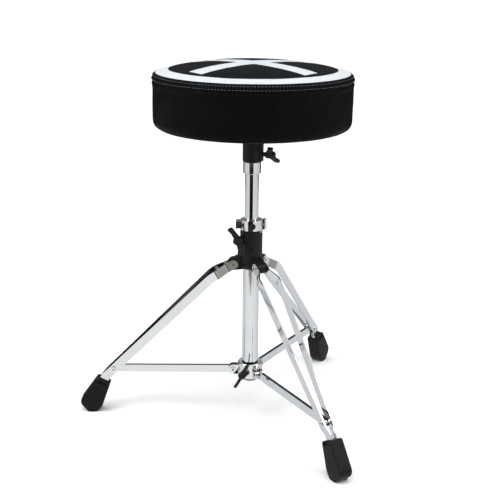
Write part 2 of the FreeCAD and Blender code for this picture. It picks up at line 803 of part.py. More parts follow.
def make_wing_screw(name, level, turn, roll, knob_start, tip):
    """A moulded T-wing knob on a steel stud. Local +Z points out of the boss along the screw."""
    outward = FreeCAD.Rotation(UP, number(turn)).multiply(FreeCAD.Rotation(Vector(0, 1, 0), 90))
    pose = FreeCAD.Placement(UP * number(level),
                             outward.multiply(FreeCAD.Rotation(UP, number(roll))))
    knob = new_body(name + "_knob")
    end = f"({knob_start} + knob_length)"
    revolve(knob, [
        ("0", knob_start),
        ("knob_radius - knob_chamfer", knob_start),
        ("knob_radius", f"{knob_start} + knob_chamfer"),
        ("knob_radius", f"{end} - knob_crown_drop"),
        ("knob_radius - knob_crown_in", end),
        ("0", end),
    ])
    wing = new_sketch(knob, "XZ_Plane")
    add_polygon(wing, [
        ("0", f"{knob_start} + wing_start"),
        ("knob_radius", f"{knob_start} + wing_start"),
        ("wing_waist_reach", f"{knob_start} + wing_waist_low"),
        ("wing_reach", f"{knob_start} + wing_tip_start"),
        ("wing_reach", f"{knob_start} + wing_tip_start + wing_tip_width"),
        ("wing_waist_reach", f"{knob_start} + wing_waist_high"),
        ("knob_radius", f"{end} - knob_crown_drop - 0.5"),
        ("0", f"{end} - knob_crown_drop"),
    ])
    wing_pad = pad(knob, wing, "wing_thick", symmetric=True)
    round_about_post(knob, [wing_pad], count=2)
    reach = number("wing_reach")
    dress_edges(knob, "Fillet", "soft_edge", lambda edge: edge.BoundBox.XLength < EPSILON
                and edge.BoundBox.ZLength < EPSILON and abs(edge.BoundBox.XMin) > reach - EPSILON)
    socket = add_circle(new_sketch(knob, "XY_Plane", f"{knob_start} - 1"), "0", "0", "stud_radius")
    pocket(knob, socket, "knob_length - knob_floor", forward=True)
    knob.Placement = pose
    turned_part(name + "_stud", [
        ("0", tip),
        ("stud_radius - stud_chamfer", tip),
        ("stud_radius", f"{tip} + stud_chamfer"),
        ("stud_radius", f"{end} - knob_floor - 1"),
        ("0", f"{end} - knob_floor - 1"),
    ], pose)


def make_wing_screws():
    make_wing_screw("seat_wing", "seat_screw_level", "socket_boss_turn", "seat_wing_roll",
                    "(socket_boss_reach + seat_knob_gap)", "stud_tip")
    make_wing_screw("post_wing", "hub_boss_level", "hub_boss_turn", "post_wing_roll",
                    "(hub_boss_reach + knob_gap)", "stud_tip")
    make_wing_screw("spreader_wing", "collar_pivot_z", "collar_boss_turn", "collar_wing_roll",
                    "(collar_boss_reach + knob_gap)", "(tube_radius + 0.3)")


# ---------------------------------------------------------------- legs

def eased_line(corners, rounds):
    """Bent centre line whose inner corners are arcs of the given radii."""
    edges = []
    here = corners[0]
    for before, bend, after, radius in zip(corners, corners[1:], corners[2:], rounds):
        back = (before - bend).normalize()
        onward = (after - bend).normalize()
        half_turn = (math.pi - back.getAngle(onward)) / 2
        tangent = radius * math.tan(half_turn)
        inward = (back + onward).normalize() * (radius / math.cos(half_turn) - radius)
        edges.append(Part.LineSegment(here, bend + back * tangent).toShape())
        edges.append(Part.Arc(bend + back * tangent, bend + inward, bend + onward * tangent).toShape())
        here = bend + onward * tangent
    edges.append(Part.LineSegment(here, corners[-1]).toShape())
    return Part.Wire(edges)


def leg_point(name):
    return Vector(number(name + "_x"), 0, number(name + "_z"))


def strap_outline():
    """Side outline of a strap: hub pivot, knee, lower rivet, toe bend and the end inside the foot."""
    lean = math.radians(number("foot_lean"))
    into_foot = Vector(math.cos(lean), 0, -math.sin(lean))
    knee = leg_point("knee")
    shank = (leg_point("rivet") - knee).normalize()
    to_foot = leg_point("foot_top") - knee
    # the toe bend is where the shank's line meets the foot's own line
    crossing = shank.x * into_foot.z - shank.z * into_foot.x
    run = (to_foot.x * into_foot.z - to_foot.z * into_foot.x) / crossing
    toe = knee + shank * run
    end = leg_point("foot_top") + into_foot * number("foot_slot_depth - strap_width / 2 - strap_end_gap")
    line = eased_line([leg_point("pivot"), knee, toe, end], [number("knee_round"), number("toe_round")])
    return line.makeOffset2D(number("strap_width / 2"), fill=True)


def strap_shape(side):
    """One leg strap in the leg's own plane: its side outline crossed with its bends' outline."""
    wide = number("rivet_x")
    outline = strap_outline().extrude(Vector(0, 2 * wide, 0))
    outline.translate(Vector(0, -wide, 0))

    thick = number("strap_thick")
    hub_half = number("lug_width / 2 + strap_gap + strap_thick / 2")
    pivot = leg_point("pivot")
    upper = (leg_point("knee") - pivot).normalize()
    rivet = leg_point("rivet")
    shank = (rivet - leg_point("knee")).normalize()
    foot = leg_point("foot_top")
    lean = math.radians(number("foot_lean"))
    into_foot = Vector(math.cos(lean), 0, -math.sin(lean))
    stations = [
        (pivot - upper * number("strap_width"), hub_half),
        (pivot + upper * number("flare_start"), hub_half),
        (pivot + upper * number("flare_end"), number("spread_half")),
        (rivet - shank * number("rivet_flat"), number("rivet_half")),
        (rivet + shank * number("rivet_flat_below"), number("rivet_half")),
        (foot - into_foot * number("foot_join"), number("foot_half")),
        (foot + into_foot * number("2 * foot_length"), number("foot_half")),
    ]
    # the bends run square across the strap's upper end, so the outline is extruded that way
    bend_line = Vector(-upper.z, 0, upper.x)
    slope = bend_line.x / bend_line.z
    near = [Vector(spot.x - spot.z * slope, side * (half - thick / 2), 0) for spot, half in stations]
    far = [Vector(spot.x - spot.z * slope, side * (half + thick / 2), 0) for spot, half in reversed(stations)]
    plan = Part.Face(Part.makePolygon(near + far + near[:1]))
    strap = outline.common(plan.extrude(bend_line * (2 * wide)))

    across = Vector(0, 1, 0)
    pin_hole = Part.makeCylinder(number("pin_radius + pin_clear"), 2 * wide,
                                 leg_point("pivot") - across * wide, across)
    rivet_hole = Part.makeCylinder(number("pin_hollow"), 2 * wide,
                                   leg_point("rivet") - across * wide, across)
    return strap.cut(Part.makeCompound([pin_hole, rivet_hole])).removeSplitter()


def make_leg(index):
    pose = turned_about_post(LEG_TURNS[index])
    for side, word in ((1, "right"), (-1, "left")):
        label = f"leg_{index}_strap_{word}"
        strap = doc.addObject("Part::Feature", label)
        strap.Shape = strap_shape(side).Solids[0]
        finish(strap, label, pose)

    # lower rivets: one short hollow rivet in each strap, leaving room for the brace between them
    rivets = []
    rivet = leg_point("rivet")
    for side in (1, -1):
        across = Vector(0, side, 0)
        inner = number("brace_width / 2 + ear_gap")
        strap_inner = number("rivet_half - strap_thick / 2")
        strap_outer = number("rivet_half + strap_thick / 2")
        sleeve = cylinder("pin_head_radius", str(strap_inner - inner), rivet + across * inner, across)
        barrel = cylinder("pin_hollow", "strap_thick", rivet + across * strap_inner, across)
        head = cylinder("pin_head_radius", "pin_head_thick", rivet + across * strap_outer, across)
        hollow = cylinder("pin_hollow - rivet_wall", "3 * rivet_half",
                          rivet + across * (inner + number("rivet_blind")), across)
        rivets.append(cut(fuse([sleeve, barrel, head]), [hollow], "short_rivet"))
    finish(fuse(rivets, "rivets"), f"leg_{index}_rivets", pose)

    # the insert fills the gap between the two strap ends inside the rubber foot
    lean = number("foot_lean")
    top = leg_point("foot_top")
    leaning = FreeCAD.Rotation(Vector(0, 1, 0), lean)
    inset = number("insert_inset")
    insert = box("foot_slot_depth - insert_short", "2 * foot_half - strap_thick",
                 "strap_width - 2 * insert_inset",
                 Vector(inset, -number("foot_half - strap_thick / 2"), inset - number("strap_width / 2")))
    in_foot = FreeCAD.Placement(top, leaning)
    insert.Placement = in_foot.multiply(insert.Placement)
    finish(insert, f"leg_{index}_insert", pose.multiply(insert.Placement))
    make_foot(index, pose)


def make_foot(index, pose):
    """Tapered rubber foot: an upright outline in the leg's plane, padded to its thickness."""
    foot = new_body(f"leg_{index}_foot")
    outline = new_sketch(foot, "XZ_Plane")
    add_polygon(outline, [
        ("foot_top_x + foot_top_width / 2 * sin(foot_lean)",
         "foot_top_z + foot_top_width / 2 * cos(foot_lean)"),
        ("foot_top_x - foot_top_width / 2 * sin(foot_lean)",
         "foot_top_z - foot_top_width / 2 * cos(foot_lean)"),
        ("foot_heel_x", "foot_heel_z"),
        ("sole_x - sole_heel", "0"),
        ("sole_x + sole_toe", "0"),
        ("foot_toe_x", "foot_toe_z"),
    ])
    pad(foot, outline, "foot_thick", symmetric=True)
    toe_top = number("foot_shoulder_z")
    dress_edges(foot, "Fillet", "foot_round", lambda edge: edge.BoundBox.YLength > 1
                and edge.BoundBox.ZMin > toe_top)
    dress_edges(foot, "Fillet", "toe_corner", lambda edge: edge.BoundBox.YLength > 1
                and EPSILON < edge.BoundBox.ZMin < toe_top
                and edge.BoundBox.XMax - edge.BoundBox.XMin < EPSILON)
    half = number("foot_thick / 2")
    dress_edges(foot, "Fillet", "foot_round / 2", lambda edge: edge.BoundBox.YLength < EPSILON
                and abs(abs(edge.BoundBox.YMin) - half) < EPSILON and edge.BoundBox.ZMin > EPSILON)
    slot = new_sketch(foot, "XZ_Plane")
    width = "(strap_width / 2 + foot_slot_clear)"
    depth = "(foot_slot_depth + foot_slot_end)"
    corners = []
    mouth = "-foot_slot_over"
    for along, across in ((mouth, "1"), (mouth, "-1"), (depth, "-1"), (depth, "1")):
        corners.append((f"foot_top_x + {along} * cos(foot_lean) + {across} * {width} * sin(foot_lean)",
                        f"foot_top_z - {along} * sin(foot_lean) + {across} * {width} * cos(foot_lean)"))
    add_polygon(slot, corners)
    feature = foot.newObject("PartDesign::Pocket", foot.Label + "_slot")
    feature.Profile = slot
    feature.SideType = "Symmetric"
    bind(feature, Length="2 * foot_half + strap_thick + 2 * foot_slot_clear")
    doc.recompute()
    foot.Placement = pose


def make_leg_pins():
    """Hollow rivets through the hub's lugs, one to a leg."""
    pins = []
    half = number("lug_width / 2 + strap_gap + strap_thick + strap_gap")
    for turn in LEG_TURNS.values():
        spin = FreeCAD.Rotation(UP, turn)
        centre = spin.multVec(Vector(number("pivot_x"), 0, number("pivot_z")))
        across = spin.multVec(Vector(0, 1, 0))
        shank = cylinder("pin_radius", str(2 * half), centre - across * half, across)
        heads = [cylinder("pin_head_radius", "pin_head_thick", centre + across * half, across),
                 cylinder("pin_head_radius", "pin_head_thick", centre - across * half, across * -1)]
        hollow = cylinder("pin_hollow", str(4 * half), centre - across * (2 * half), across)
        pins.append(cut(fuse([shank] + heads), [hollow], "hollow_rivet"))
    finish(fuse(pins, "leg_pins"), "hub_leg_pins")


# ---------------------------------------------------------------- braces and spreader collar

def make_brace(index):
    """U channel, open at the top, with rounded drilled ends."""
    brace = new_body(f"brace_{index}")
    half = "brace_height / 2"
    slope = "atan2(rivet_z - collar_pivot_z; rivet_x - pivot_x)"
    length = "sqrt((rivet_x - pivot_x)^2 + (rivet_z - collar_pivot_z)^2)"
    bar = add_polygon(new_sketch(brace, "XZ_Plane"), rectangle("0", length, "-" + half, half))
    pad(brace, bar, "brace_width", symmetric=True)
    for place in ("0", length):
        pad(brace, add_circle(new_sketch(brace, "XZ_Plane"), place, "0", half), "brace_width",
            symmetric=True)
    channel = new_sketch(brace, "XZ_Plane")
    add_polygon(channel, rectangle("-brace_height", f"{length} + brace_height",
                                   f"brace_wall - {half}", "brace_height"))
    feature = brace.newObject("PartDesign::Pocket", brace.Label + "_channel")
    feature.Profile = channel
    feature.SideType = "Symmetric"
    bind(feature, Length="brace_width - 2 * brace_wall")
    doc.recompute()
    holes = new_sketch(brace, "XZ_Plane")
    add_circle(holes, "0", "0", "brace_hole")
    add_circle(holes, length, "0", "brace_hole")
    pocket(brace, holes)
    tilt = FreeCAD.Placement(Vector(number("pivot_x"), 0, number("collar_pivot_z")),
                             FreeCAD.Rotation(Vector(0, 1, 0), -number(slope)))
    brace.Placement = turned_about_post(LEG_TURNS[index]).multiply(tilt)


def make_collar():
    collar = new_body("spreader_collar")
    revolve(collar, [
        ("0", "collar_bottom"),
        ("collar_radius - collar_chamfer", "collar_bottom"),
        ("collar_radius", "collar_bottom + collar_chamfer"),
        ("collar_radius - collar_draft", "collar_top - collar_chamfer"),
        ("collar_radius - collar_draft - collar_chamfer / 2", "collar_top"),
        ("0", "collar_top"),
    ])
    outer = "2 * (brace_width / 2 + ear_gap + ear_thick)"
    plate = leg_plane_sketch(collar)
    add_polygon(plate, rectangle("collar_bore", "pivot_x", "collar_pivot_z - ear_end_radius",
                                 "collar_pivot_z + ear_end_radius"))
    plate_pad = pad(collar, plate, outer, symmetric=True)
    nose = add_circle(leg_plane_sketch(collar), "pivot_x", "collar_pivot_z", "ear_end_radius")
    nose_pad = pad(collar, nose, outer, symmetric=True)
    round_about_post(collar, [plate_pad, nose_pad])
    slot = leg_plane_sketch(collar)
    add_polygon(slot, rectangle("pivot_x - brace_height / 2 - 1", "pivot_x + 2 * ear_end_radius",
                                "collar_pivot_z - 2 * ear_end_radius",
                                "collar_pivot_z + 2 * ear_end_radius"))
    cutter = collar.newObject("PartDesign::Pocket", "ear_slot")
    cutter.Profile = slot
    cutter.SideType = "Symmetric"
    bind(cutter, Length="brace_width + 2 * ear_gap")
    doc.recompute()
    hole = pocket(collar, add_circle(leg_plane_sketch(collar), "pivot_x", "collar_pivot_z", "brace_pin"))
    round_about_post(collar, [cutter, hole])
    boss = new_sketch(collar, "YZ_Plane", turn=number("collar_boss_turn"))
    pad(collar, add_circle(boss, "0", "collar_pivot_z", "collar_boss_radius"), "collar_boss_reach")
    pocket(collar, add_circle(new_sketch(collar, "XY_Plane"), "0", "0", "collar_bore"))
    cup = add_circle(new_sketch(collar, "XY_Plane", "collar_top"), "0", "0", "collar_cup_radius")
    pocket(collar, cup, "collar_cup_depth")
    stud_way = new_sketch(collar, "YZ_Plane", turn=number("collar_boss_turn"))
    pocket(collar, add_circle(stud_way, "0", "collar_pivot_z", "stud_hole"), "collar_boss_reach + 5",
           forward=True)

    pins = []
    half = number("brace_width / 2 + ear_gap + ear_thick")
    for turn in LEG_TURNS.values():
        spin = FreeCAD.Rotation(UP, turn)
        centre = spin.multVec(Vector(number("pivot_x"), 0, number("collar_pivot_z")))
        across = spin.multVec(Vector(0, 1, 0))
        shank = cylinder("brace_pin", str(2 * half), centre - across * half, across)
        heads = [cylinder("brace_pin_head", "pin_head_thick", centre + across * half, across),
                 cylinder("brace_pin_head", "pin_head_thick", centre - across * half, across * -1)]
        hollow = cylinder("pin_hollow", str(4 * half), centre - across * (2 * half), across)
        pins.append(cut(fuse([shank] + heads), [hollow], "hollow_rivet"))
    finish(fuse(pins, "brace_rivets"), "spreader_pins")


# ---------------------------------------------------------------- build, check and write

def check_document():
    for thing in doc.Objects:
        if {"Invalid", "Error"} & set(thing.State):
            raise RuntimeError(f"{thing.Label}: {thing.State}")
    for thing in finished:
        if thing.Shape.isNull() or not thing.Shape.isValid() or not thing.Shape.Solids:
            raise RuntimeError(thing.Label + ": no valid solid")


def main():
    make_seat()
    make_seat_hardware()
    make_post()
    make_memory_lock()
    make_hub()
    make_leg_pins()
    make_wing_screws()
    make_collar()
    for index in LEG_TURNS:
        make_leg(index)
        make_brace(index)
    doc.recompute()
    check_document()
    os.makedirs("parts", exist_ok=True)
    for thing in finished:
        thing.Shape.exportStep(f"parts/{thing.Label}.step")
        print(f"{thing.Label:24s} {len(thing.Shape.Solids)} solid(s) {thing.Shape.Volume:12.0f} mm3")


main()
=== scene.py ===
from functools import partial
import json
import math

import bmesh
import bpy
from mathutils import Matrix, Vector
from mathutils.bvhtree import BVHTree


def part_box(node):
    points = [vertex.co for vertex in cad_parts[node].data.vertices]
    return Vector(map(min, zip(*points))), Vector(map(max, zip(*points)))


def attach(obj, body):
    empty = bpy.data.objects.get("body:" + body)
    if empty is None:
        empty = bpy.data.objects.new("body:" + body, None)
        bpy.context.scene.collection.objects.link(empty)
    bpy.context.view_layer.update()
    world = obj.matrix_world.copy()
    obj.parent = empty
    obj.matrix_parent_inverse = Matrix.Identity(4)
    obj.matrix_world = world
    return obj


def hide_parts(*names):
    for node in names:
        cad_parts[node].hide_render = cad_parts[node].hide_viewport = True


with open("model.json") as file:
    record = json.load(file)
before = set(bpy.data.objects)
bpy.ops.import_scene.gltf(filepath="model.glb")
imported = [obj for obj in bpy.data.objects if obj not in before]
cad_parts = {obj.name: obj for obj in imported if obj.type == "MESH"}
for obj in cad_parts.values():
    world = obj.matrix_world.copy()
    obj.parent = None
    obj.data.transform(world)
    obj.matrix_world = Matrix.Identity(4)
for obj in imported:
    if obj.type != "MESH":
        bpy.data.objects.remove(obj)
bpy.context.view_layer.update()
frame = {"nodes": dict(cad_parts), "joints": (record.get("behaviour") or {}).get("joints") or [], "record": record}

nodes = frame["nodes"]
scene = bpy.context.scene

# seat, metres
SEAT_RADIUS = 0.1760
SEAT_BOTTOM = 0.549
SEAT_CORNER = 0.016
SEAT_CROWN = 0.6655
CROWN_FALL = 0.0110
CROWN_STEEPER = 0.0030
SIDE_MIDDLE = 0.600
SEAM_LEVEL = 0.632
SHOULDER_LEVEL = 0.6372
SHOULDER_RADIUS = 0.010
HEM_RADIUS = 0.142
HEM_RISE = 0.004
VINYL_THICK = 0.0012
# the cushion's swelling: inset and grain of the simulated pad, its greatest movement, and the part kept
PAD_INSET = 0.0015
PAD_GRAIN = 0.006
SWELL_CAP = 0.004
UNEVENNESS = 0.15
# stitch rows: number of stitches in each, and (radius, height, tilt in degrees)
STITCHES = 190
STITCHED = 0.68
THREAD_RADIUS = 0.00045
UPPER_ROW = (0.1752, 0.6424, 30.0)
LOWER_ROW = (0.1774, 0.6362, 0.0)
# print on the seat: a ring, and two sticks measured along each from where they cross, in front of the middle
PRINT_EDGE = 0.0004
RING_INNER = 0.148
RING_OUTER = 0.1702
STICKS_FORWARD = 0.020
STICK_TURNS = (38.0, 142.0)
STICK_BUTT = 0.122
STICK_NECK = 0.100
STICK_TAPER = (0.02, 0.106)
STICK_HALF_WIDTHS = (0.0180, 0.0105)
STICK_TIP = 0.108
STICK_TIP_RADIUS = 0.0165
STICK_TIP_STRETCH = 1.7
# leg straps in the leg's own plane: points (out from the post, up), and half spacings and lengths along them
KNEE = (0.0718, 0.2735)
FOOT_TOP = (0.2775, 0.063)
FOOT_LEAN = 64.0
KNEE_ROUND = 0.060
TOE_ROUND = 0.040
PATH_STEP = 0.004
STRAP_HALF = 0.00825
STRAP_THICK = 0.0025
STRAP_EDGE = 0.0005
STRAP_IN_FOOT = 0.0248
HUB_HALF = 0.01005
SPREAD_HALF = 0.0198
RIVET_HALF = 0.0086
FOOT_HALF = 0.0049
FLARE_START = 0.015
FLARE_END = 0.034
RIVET_FLAT = 0.028
RIVET_FLAT_BELOW = 0.008
FOOT_JOIN = 0.012
BEND_EASE = 0.0030
RIVET_HOLE = 0.0022
PIVOT_HOLE = 0.0042
# recess across each side of a foot
RECESS_START = 0.0016
RECESS_HEIGHT = 0.0058
RECESS_WIDTH = 0.0175
RECESS_DEPTH = 0.0026
RECESS_CUTTER = 0.010

# camera fitted to the photograph: place in metres, angles in degrees
PICTURE_PIXELS = 500.0
FOCAL_PIXELS = 1006.0
SENSOR_WIDTH = 36.0
CAMERA_PLACE = (-0.0022, -1.7704, 0.84606)
CAMERA_DOWN = 16.487
CAMERA_ROLL = 0.62
SIGHT = 200.0
# soft light from above: its strength, its size and its tilt in degrees
SUN_STRENGTH = 2.9
SUN_SIZE = 66.0
SUN_TILT = (6.0, -4.0)
# softboxes: name, place, size and power
SOFTBOX_AIM = (0.0, 0.0, 0.45)
SOFTBOXES = [("softbox_left", (-1.6, -0.9, 1.5), (0.5, 1.4), 14.0),
             ("softbox_right", (1.5, -0.6, 1.3), (0.35, 1.2), 8.0)]
# floor and backdrop, metres
FLOOR_SIZE = 120.0
BACKDROP_RADIUS = 30.0
BACKDROP_HEIGHT = 80.0
BACKDROP_MIDDLE = 39.0

# studio walls: (degrees from the camera's side towards +X, red, green, blue)
SIDE_BANDS = [
    (-180.0, 0.50, 0.51, 0.52), (-152.0, 0.58, 0.59, 0.61), (-128.0, 0.92, 0.94, 0.97),
    (-100.0, 1.00, 1.01, 1.03), (-70.0, 1.10, 1.11, 1.12), (-45.0, 1.22, 1.23, 1.24),
    (15.0, 1.26, 1.27, 1.28), (45.0, 1.22, 1.23, 1.24), (80.0, 1.08, 1.09, 1.11),
    (108.0, 0.98, 1.00, 1.03), (132.0, 0.90, 0.92, 0.95), (154.0, 0.58, 0.59, 0.61),
    (180.0, 0.50, 0.51, 0.52),
]
# and their shade: (sine of the height above the horizon, red, green, blue)
HEIGHT_BANDS = [
    (-1.0, 1.0, 1.0, 1.0), (-0.29, 1.0, 1.0, 1.0), (-0.23, 0.86, 0.86, 0.86), (-0.11, 0.86, 0.86, 0.86),
    (-0.01, 0.44, 0.43, 0.39), (0.22, 0.40, 0.39, 0.35), (0.40, 0.90, 0.90, 0.90), (1.0, 1.0, 1.0, 1.0),
]
# the room behind is dark beyond this many degrees from the camera's side, in a low band and a high one;
# each band rises between its first two heights and falls between its last two, in degrees
BACK_SIDE = 112.0
BACK_SOFT = 14.0
BACK_LOW = (-13.5, -12.0, 6.0, 9.0)
BACK_HIGH = (40.0, 44.0, 62.0, 68.0)
BACK_COLOUR = (0.015, 0.015, 0.017)
# dark window on the camera's side, in degrees: its middle and half width, the tip of its lower end and the
# height where that has opened to the full width, its top, how soft its sides and top are, and its colours
WINDOW_MIDDLE = -9.0
WINDOW_HALF = 28.5
WINDOW_TIP = -19.0
WINDOW_OPEN = -17.8
WINDOW_TOP = 24.0
WINDOW_SIDE_SOFT = 1.5
WINDOW_TOP_SOFT = 5.0
WINDOW_BANDS = [
    (-19.5, 0.42, 0.40, 0.34), (-17.0, 0.36, 0.34, 0.28), (-16.1, 0.24, 0.22, 0.18),
    (-15.5, 0.010, 0.010, 0.012), (-11.55, 0.010, 0.010, 0.012), (-11.45, 0.30, 0.29, 0.25),
    (2.0, 0.16, 0.15, 0.13), (30.0, 0.10, 0.10, 0.10),
]


# ---------------------------------------------------------------- shader nodes

def math_node(tree, kind, *values):
    """Result of a math node; each value is a number or a socket."""
    node = tree.nodes.new("ShaderNodeMath")
    node.operation = kind
    for socket, value in zip(node.inputs, values):
        if isinstance(value, (int, float)):
            socket.default_value = value
        else:
            tree.links.new(value, socket)
    return node.outputs[0]


def map_node(tree, value, low, high, start, end):
    """A value carried from low..high to start..end, and held at the ends."""
    node = tree.nodes.new("ShaderNodeMapRange")
    for name, setting in (("From Min", low), ("From Max", high), ("To Min", start), ("To Max", end)):
        node.inputs[name].default_value = setting
    tree.links.new(value, node.inputs["Value"])
    return node.outputs[0]


def mix_node(tree, factor, first, second, blend="MIX"):
    """Mix of two colours, each a tuple or a socket; the factor is a number or a socket."""
    node = tree.nodes.new("ShaderNodeMix")
    node.data_type = "RGBA"
    node.blend_type = blend
    colours = [socket for socket in node.inputs if socket.type == "RGBA"]
    for socket, value in zip(colours, (first, second)):
        if isinstance(value, tuple):
            socket.default_value = value + (1.0,)
        else:
            tree.links.new(value, socket)
    if isinstance(factor, float):
        node.inputs["Factor"].default_value = factor
    else:
        tree.links.new(factor, node.inputs["Factor"])
    return [socket for socket in node.outputs if socket.type == "RGBA"][0]


def ramp_node(tree, value, stops):
    """Colour by value; stops are (value, red, green, blue)."""
    low, high = stops[0][0], stops[-1][0]
    node = tree.nodes.new("ShaderNodeValToRGB")
    tree.links.new(map_node(tree, value, low, high, 0.0, 1.0), node.inputs["Fac"])
    ramp = node.color_ramp
    ramp.elements.remove(ramp.elements[-1])
    for number, (place, red, green, blue) in enumerate(stops):
        part = (place - low) / (high - low)
        element = ramp.elements[0] if number == 0 else ramp.elements.new(part)
        element.position = part
        element.color = (red, green, blue, 1.0)
    return node.outputs["Color"]


# ---------------------------------------------------------------- camera, light and floor

def add_camera():
    """Plain perspective camera at the photograph's viewing angle."""
    data = bpy.data.cameras.new("camera")
    data.sensor_width = SENSOR_WIDTH
    data.lens = FOCAL_PIXELS / PICTURE_PIXELS * SENSOR_WIDTH
    data.clip_end = SIGHT
    camera = bpy.data.objects.new("camera", data)
    scene.collection.objects.link(camera)
    pitch = Matrix.Rotation(math.radians(90.0 - CAMERA_DOWN), 4, "X")
    roll = Matrix.Rotation(math.radians(CAMERA_ROLL), 4, "Z")
    camera.matrix_world = Matrix.Translation(CAMERA_PLACE) @ pitch @ roll
    scene.camera = camera


def add_world():
    """Bright studio walls with a dark window where the camera stands, and a dark room behind."""
    world = bpy.data.worlds.new("studio")
    scene.world = world
    world.use_nodes = True
    tree = world.node_tree
    tree.nodes.clear()
    maths = partial(math_node, tree)
    mapped = partial(map_node, tree)
    mixed = partial(mix_node, tree)
    ramped = partial(ramp_node, tree)

    def faded(value, start, full, fall, end):
        """1 between full and fall, 0 outside start and end."""
        return maths("MULTIPLY", mapped(value, start, full, 0.0, 1.0), mapped(value, fall, end, 1.0, 0.0))

    where = tree.nodes.new("ShaderNodeTexCoord")
    split = tree.nodes.new("ShaderNodeSeparateXYZ")
    tree.links.new(where.outputs["Generated"], split.inputs[0])
    x, y, z = split.outputs
    # degrees round from -Y, where the camera stands, towards +X, and degrees above the horizon
    side = maths("DEGREES", maths("ARCTAN2", x, maths("MULTIPLY", y, -1.0)))
    rise = maths("DEGREES", maths("ARCSINE", z))
    walls = mixed(1.0, ramped(side, SIDE_BANDS), ramped(z, HEIGHT_BANDS), "MULTIPLY")

    behind = maths("MULTIPLY", mapped(maths("ABSOLUTE", side), BACK_SIDE, BACK_SIDE + BACK_SOFT, 0.0, 1.0),
                   maths("MAXIMUM", faded(rise, *BACK_LOW), faded(rise, *BACK_HIGH)))
    walls = mixed(behind, walls, BACK_COLOUR)

    # the window narrows to a point at its lower end
    opened = mapped(rise, WINDOW_TIP, WINDOW_OPEN, 0.0, 1.0)
    off_middle = maths("ABSOLUTE", maths("SUBTRACT", side, maths("MULTIPLY", opened, WINDOW_MIDDLE)))
    inside = maths("SUBTRACT", maths("MULTIPLY", opened, WINDOW_HALF), off_middle)
    window = maths("MULTIPLY", mapped(inside, 0.0, WINDOW_SIDE_SOFT, 0.0, 1.0),
                   mapped(rise, WINDOW_TOP, WINDOW_TOP + WINDOW_TOP_SOFT, 1.0, 0.0))

    background = tree.nodes.new("ShaderNodeBackground")
    out = tree.nodes.new("ShaderNodeOutputWorld")
    tree.links.new(mixed(window, walls, ramped(rise, WINDOW_BANDS)), background.inputs["Color"])
    tree.links.new(background.outputs[0], out.inputs["Surface"])


def add_area(name, place, size, power):
    """Softbox that shines towards the object."""
    data = bpy.data.lights.new(name, "AREA")
    data.shape = "RECTANGLE"
    data.size, data.size_y = size
    data.energy = power
    lamp = bpy.data.objects.new(name, data)
    facing = (Vector(SOFTBOX_AIM) - Vector(place)).to_track_quat("-Z", "Y")
    lamp.matrix_world = Matrix.Translation(place) @ facing.to_matrix().to_4x4()
    scene.collection.objects.link(lamp)


def add_lights():
    """Wide soft light from above and a softbox on each side."""
    sun = bpy.data.lights.new("soft_sun", "SUN")
    sun.energy = SUN_STRENGTH
    sun.angle = math.radians(SUN_SIZE)
    lamp = bpy.data.objects.new("soft_sun", sun)
    lamp.rotation_euler = (math.radians(SUN_TILT[0]), math.radians(SUN_TILT[1]), 0.0)
    scene.collection.objects.link(lamp)
    for name, place, size, power in SOFTBOXES:
        add_area(name, place, size, power)


def add_floor():
    """Pale paper floor, which the chrome doesn't mirror."""
    bpy.ops.mesh.primitive_grid_add(x_subdivisions=4, y_subdivisions=4, size=FLOOR_SIZE)
    floor = bpy.context.object
    floor.name = "studio_floor"
    paper = Material("studio_paper", 0.9, 0.0)
    paper.mottle((0.70, 0.70, 0.70), (0.715, 0.715, 0.715), 3.0)
    floor.data.materials.append(paper.material)
    floor.visible_glossy = False


def add_backdrop():
    """A pale wall far behind, seen by the camera only, so that low views have no dark horizon."""
    shape = bmesh.new()
    bmesh.ops.create_cone(shape, cap_ends=True, segments=96, radius1=BACKDROP_RADIUS,
                          radius2=BACKDROP_RADIUS, depth=BACKDROP_HEIGHT,
                          matrix=Matrix.Translation((0.0, 0.0, BACKDROP_MIDDLE)))
    mesh = bpy.data.meshes.new("studio_backdrop")
    shape.to_mesh(mesh)
    shape.free()
    wall = bpy.data.objects.new("studio_backdrop", mesh)
    scene.collection.objects.link(wall)
    wall.visible_glossy = False
    wall.visible_diffuse = False
    wall.visible_shadow = False
    wall.visible_transmission = False
    glow = bpy.data.materials.new("studio_backdrop_white")
    glow.use_nodes = True
    glow.node_tree.nodes.clear()
    light = glow.node_tree.nodes.new("ShaderNodeEmission")
    out = glow.node_tree.nodes.new("ShaderNodeOutputMaterial")
    glow.node_tree.links.new(light.outputs[0], out.inputs["Surface"])
    mesh.materials.append(glow)


# ---------------------------------------------------------------- materials

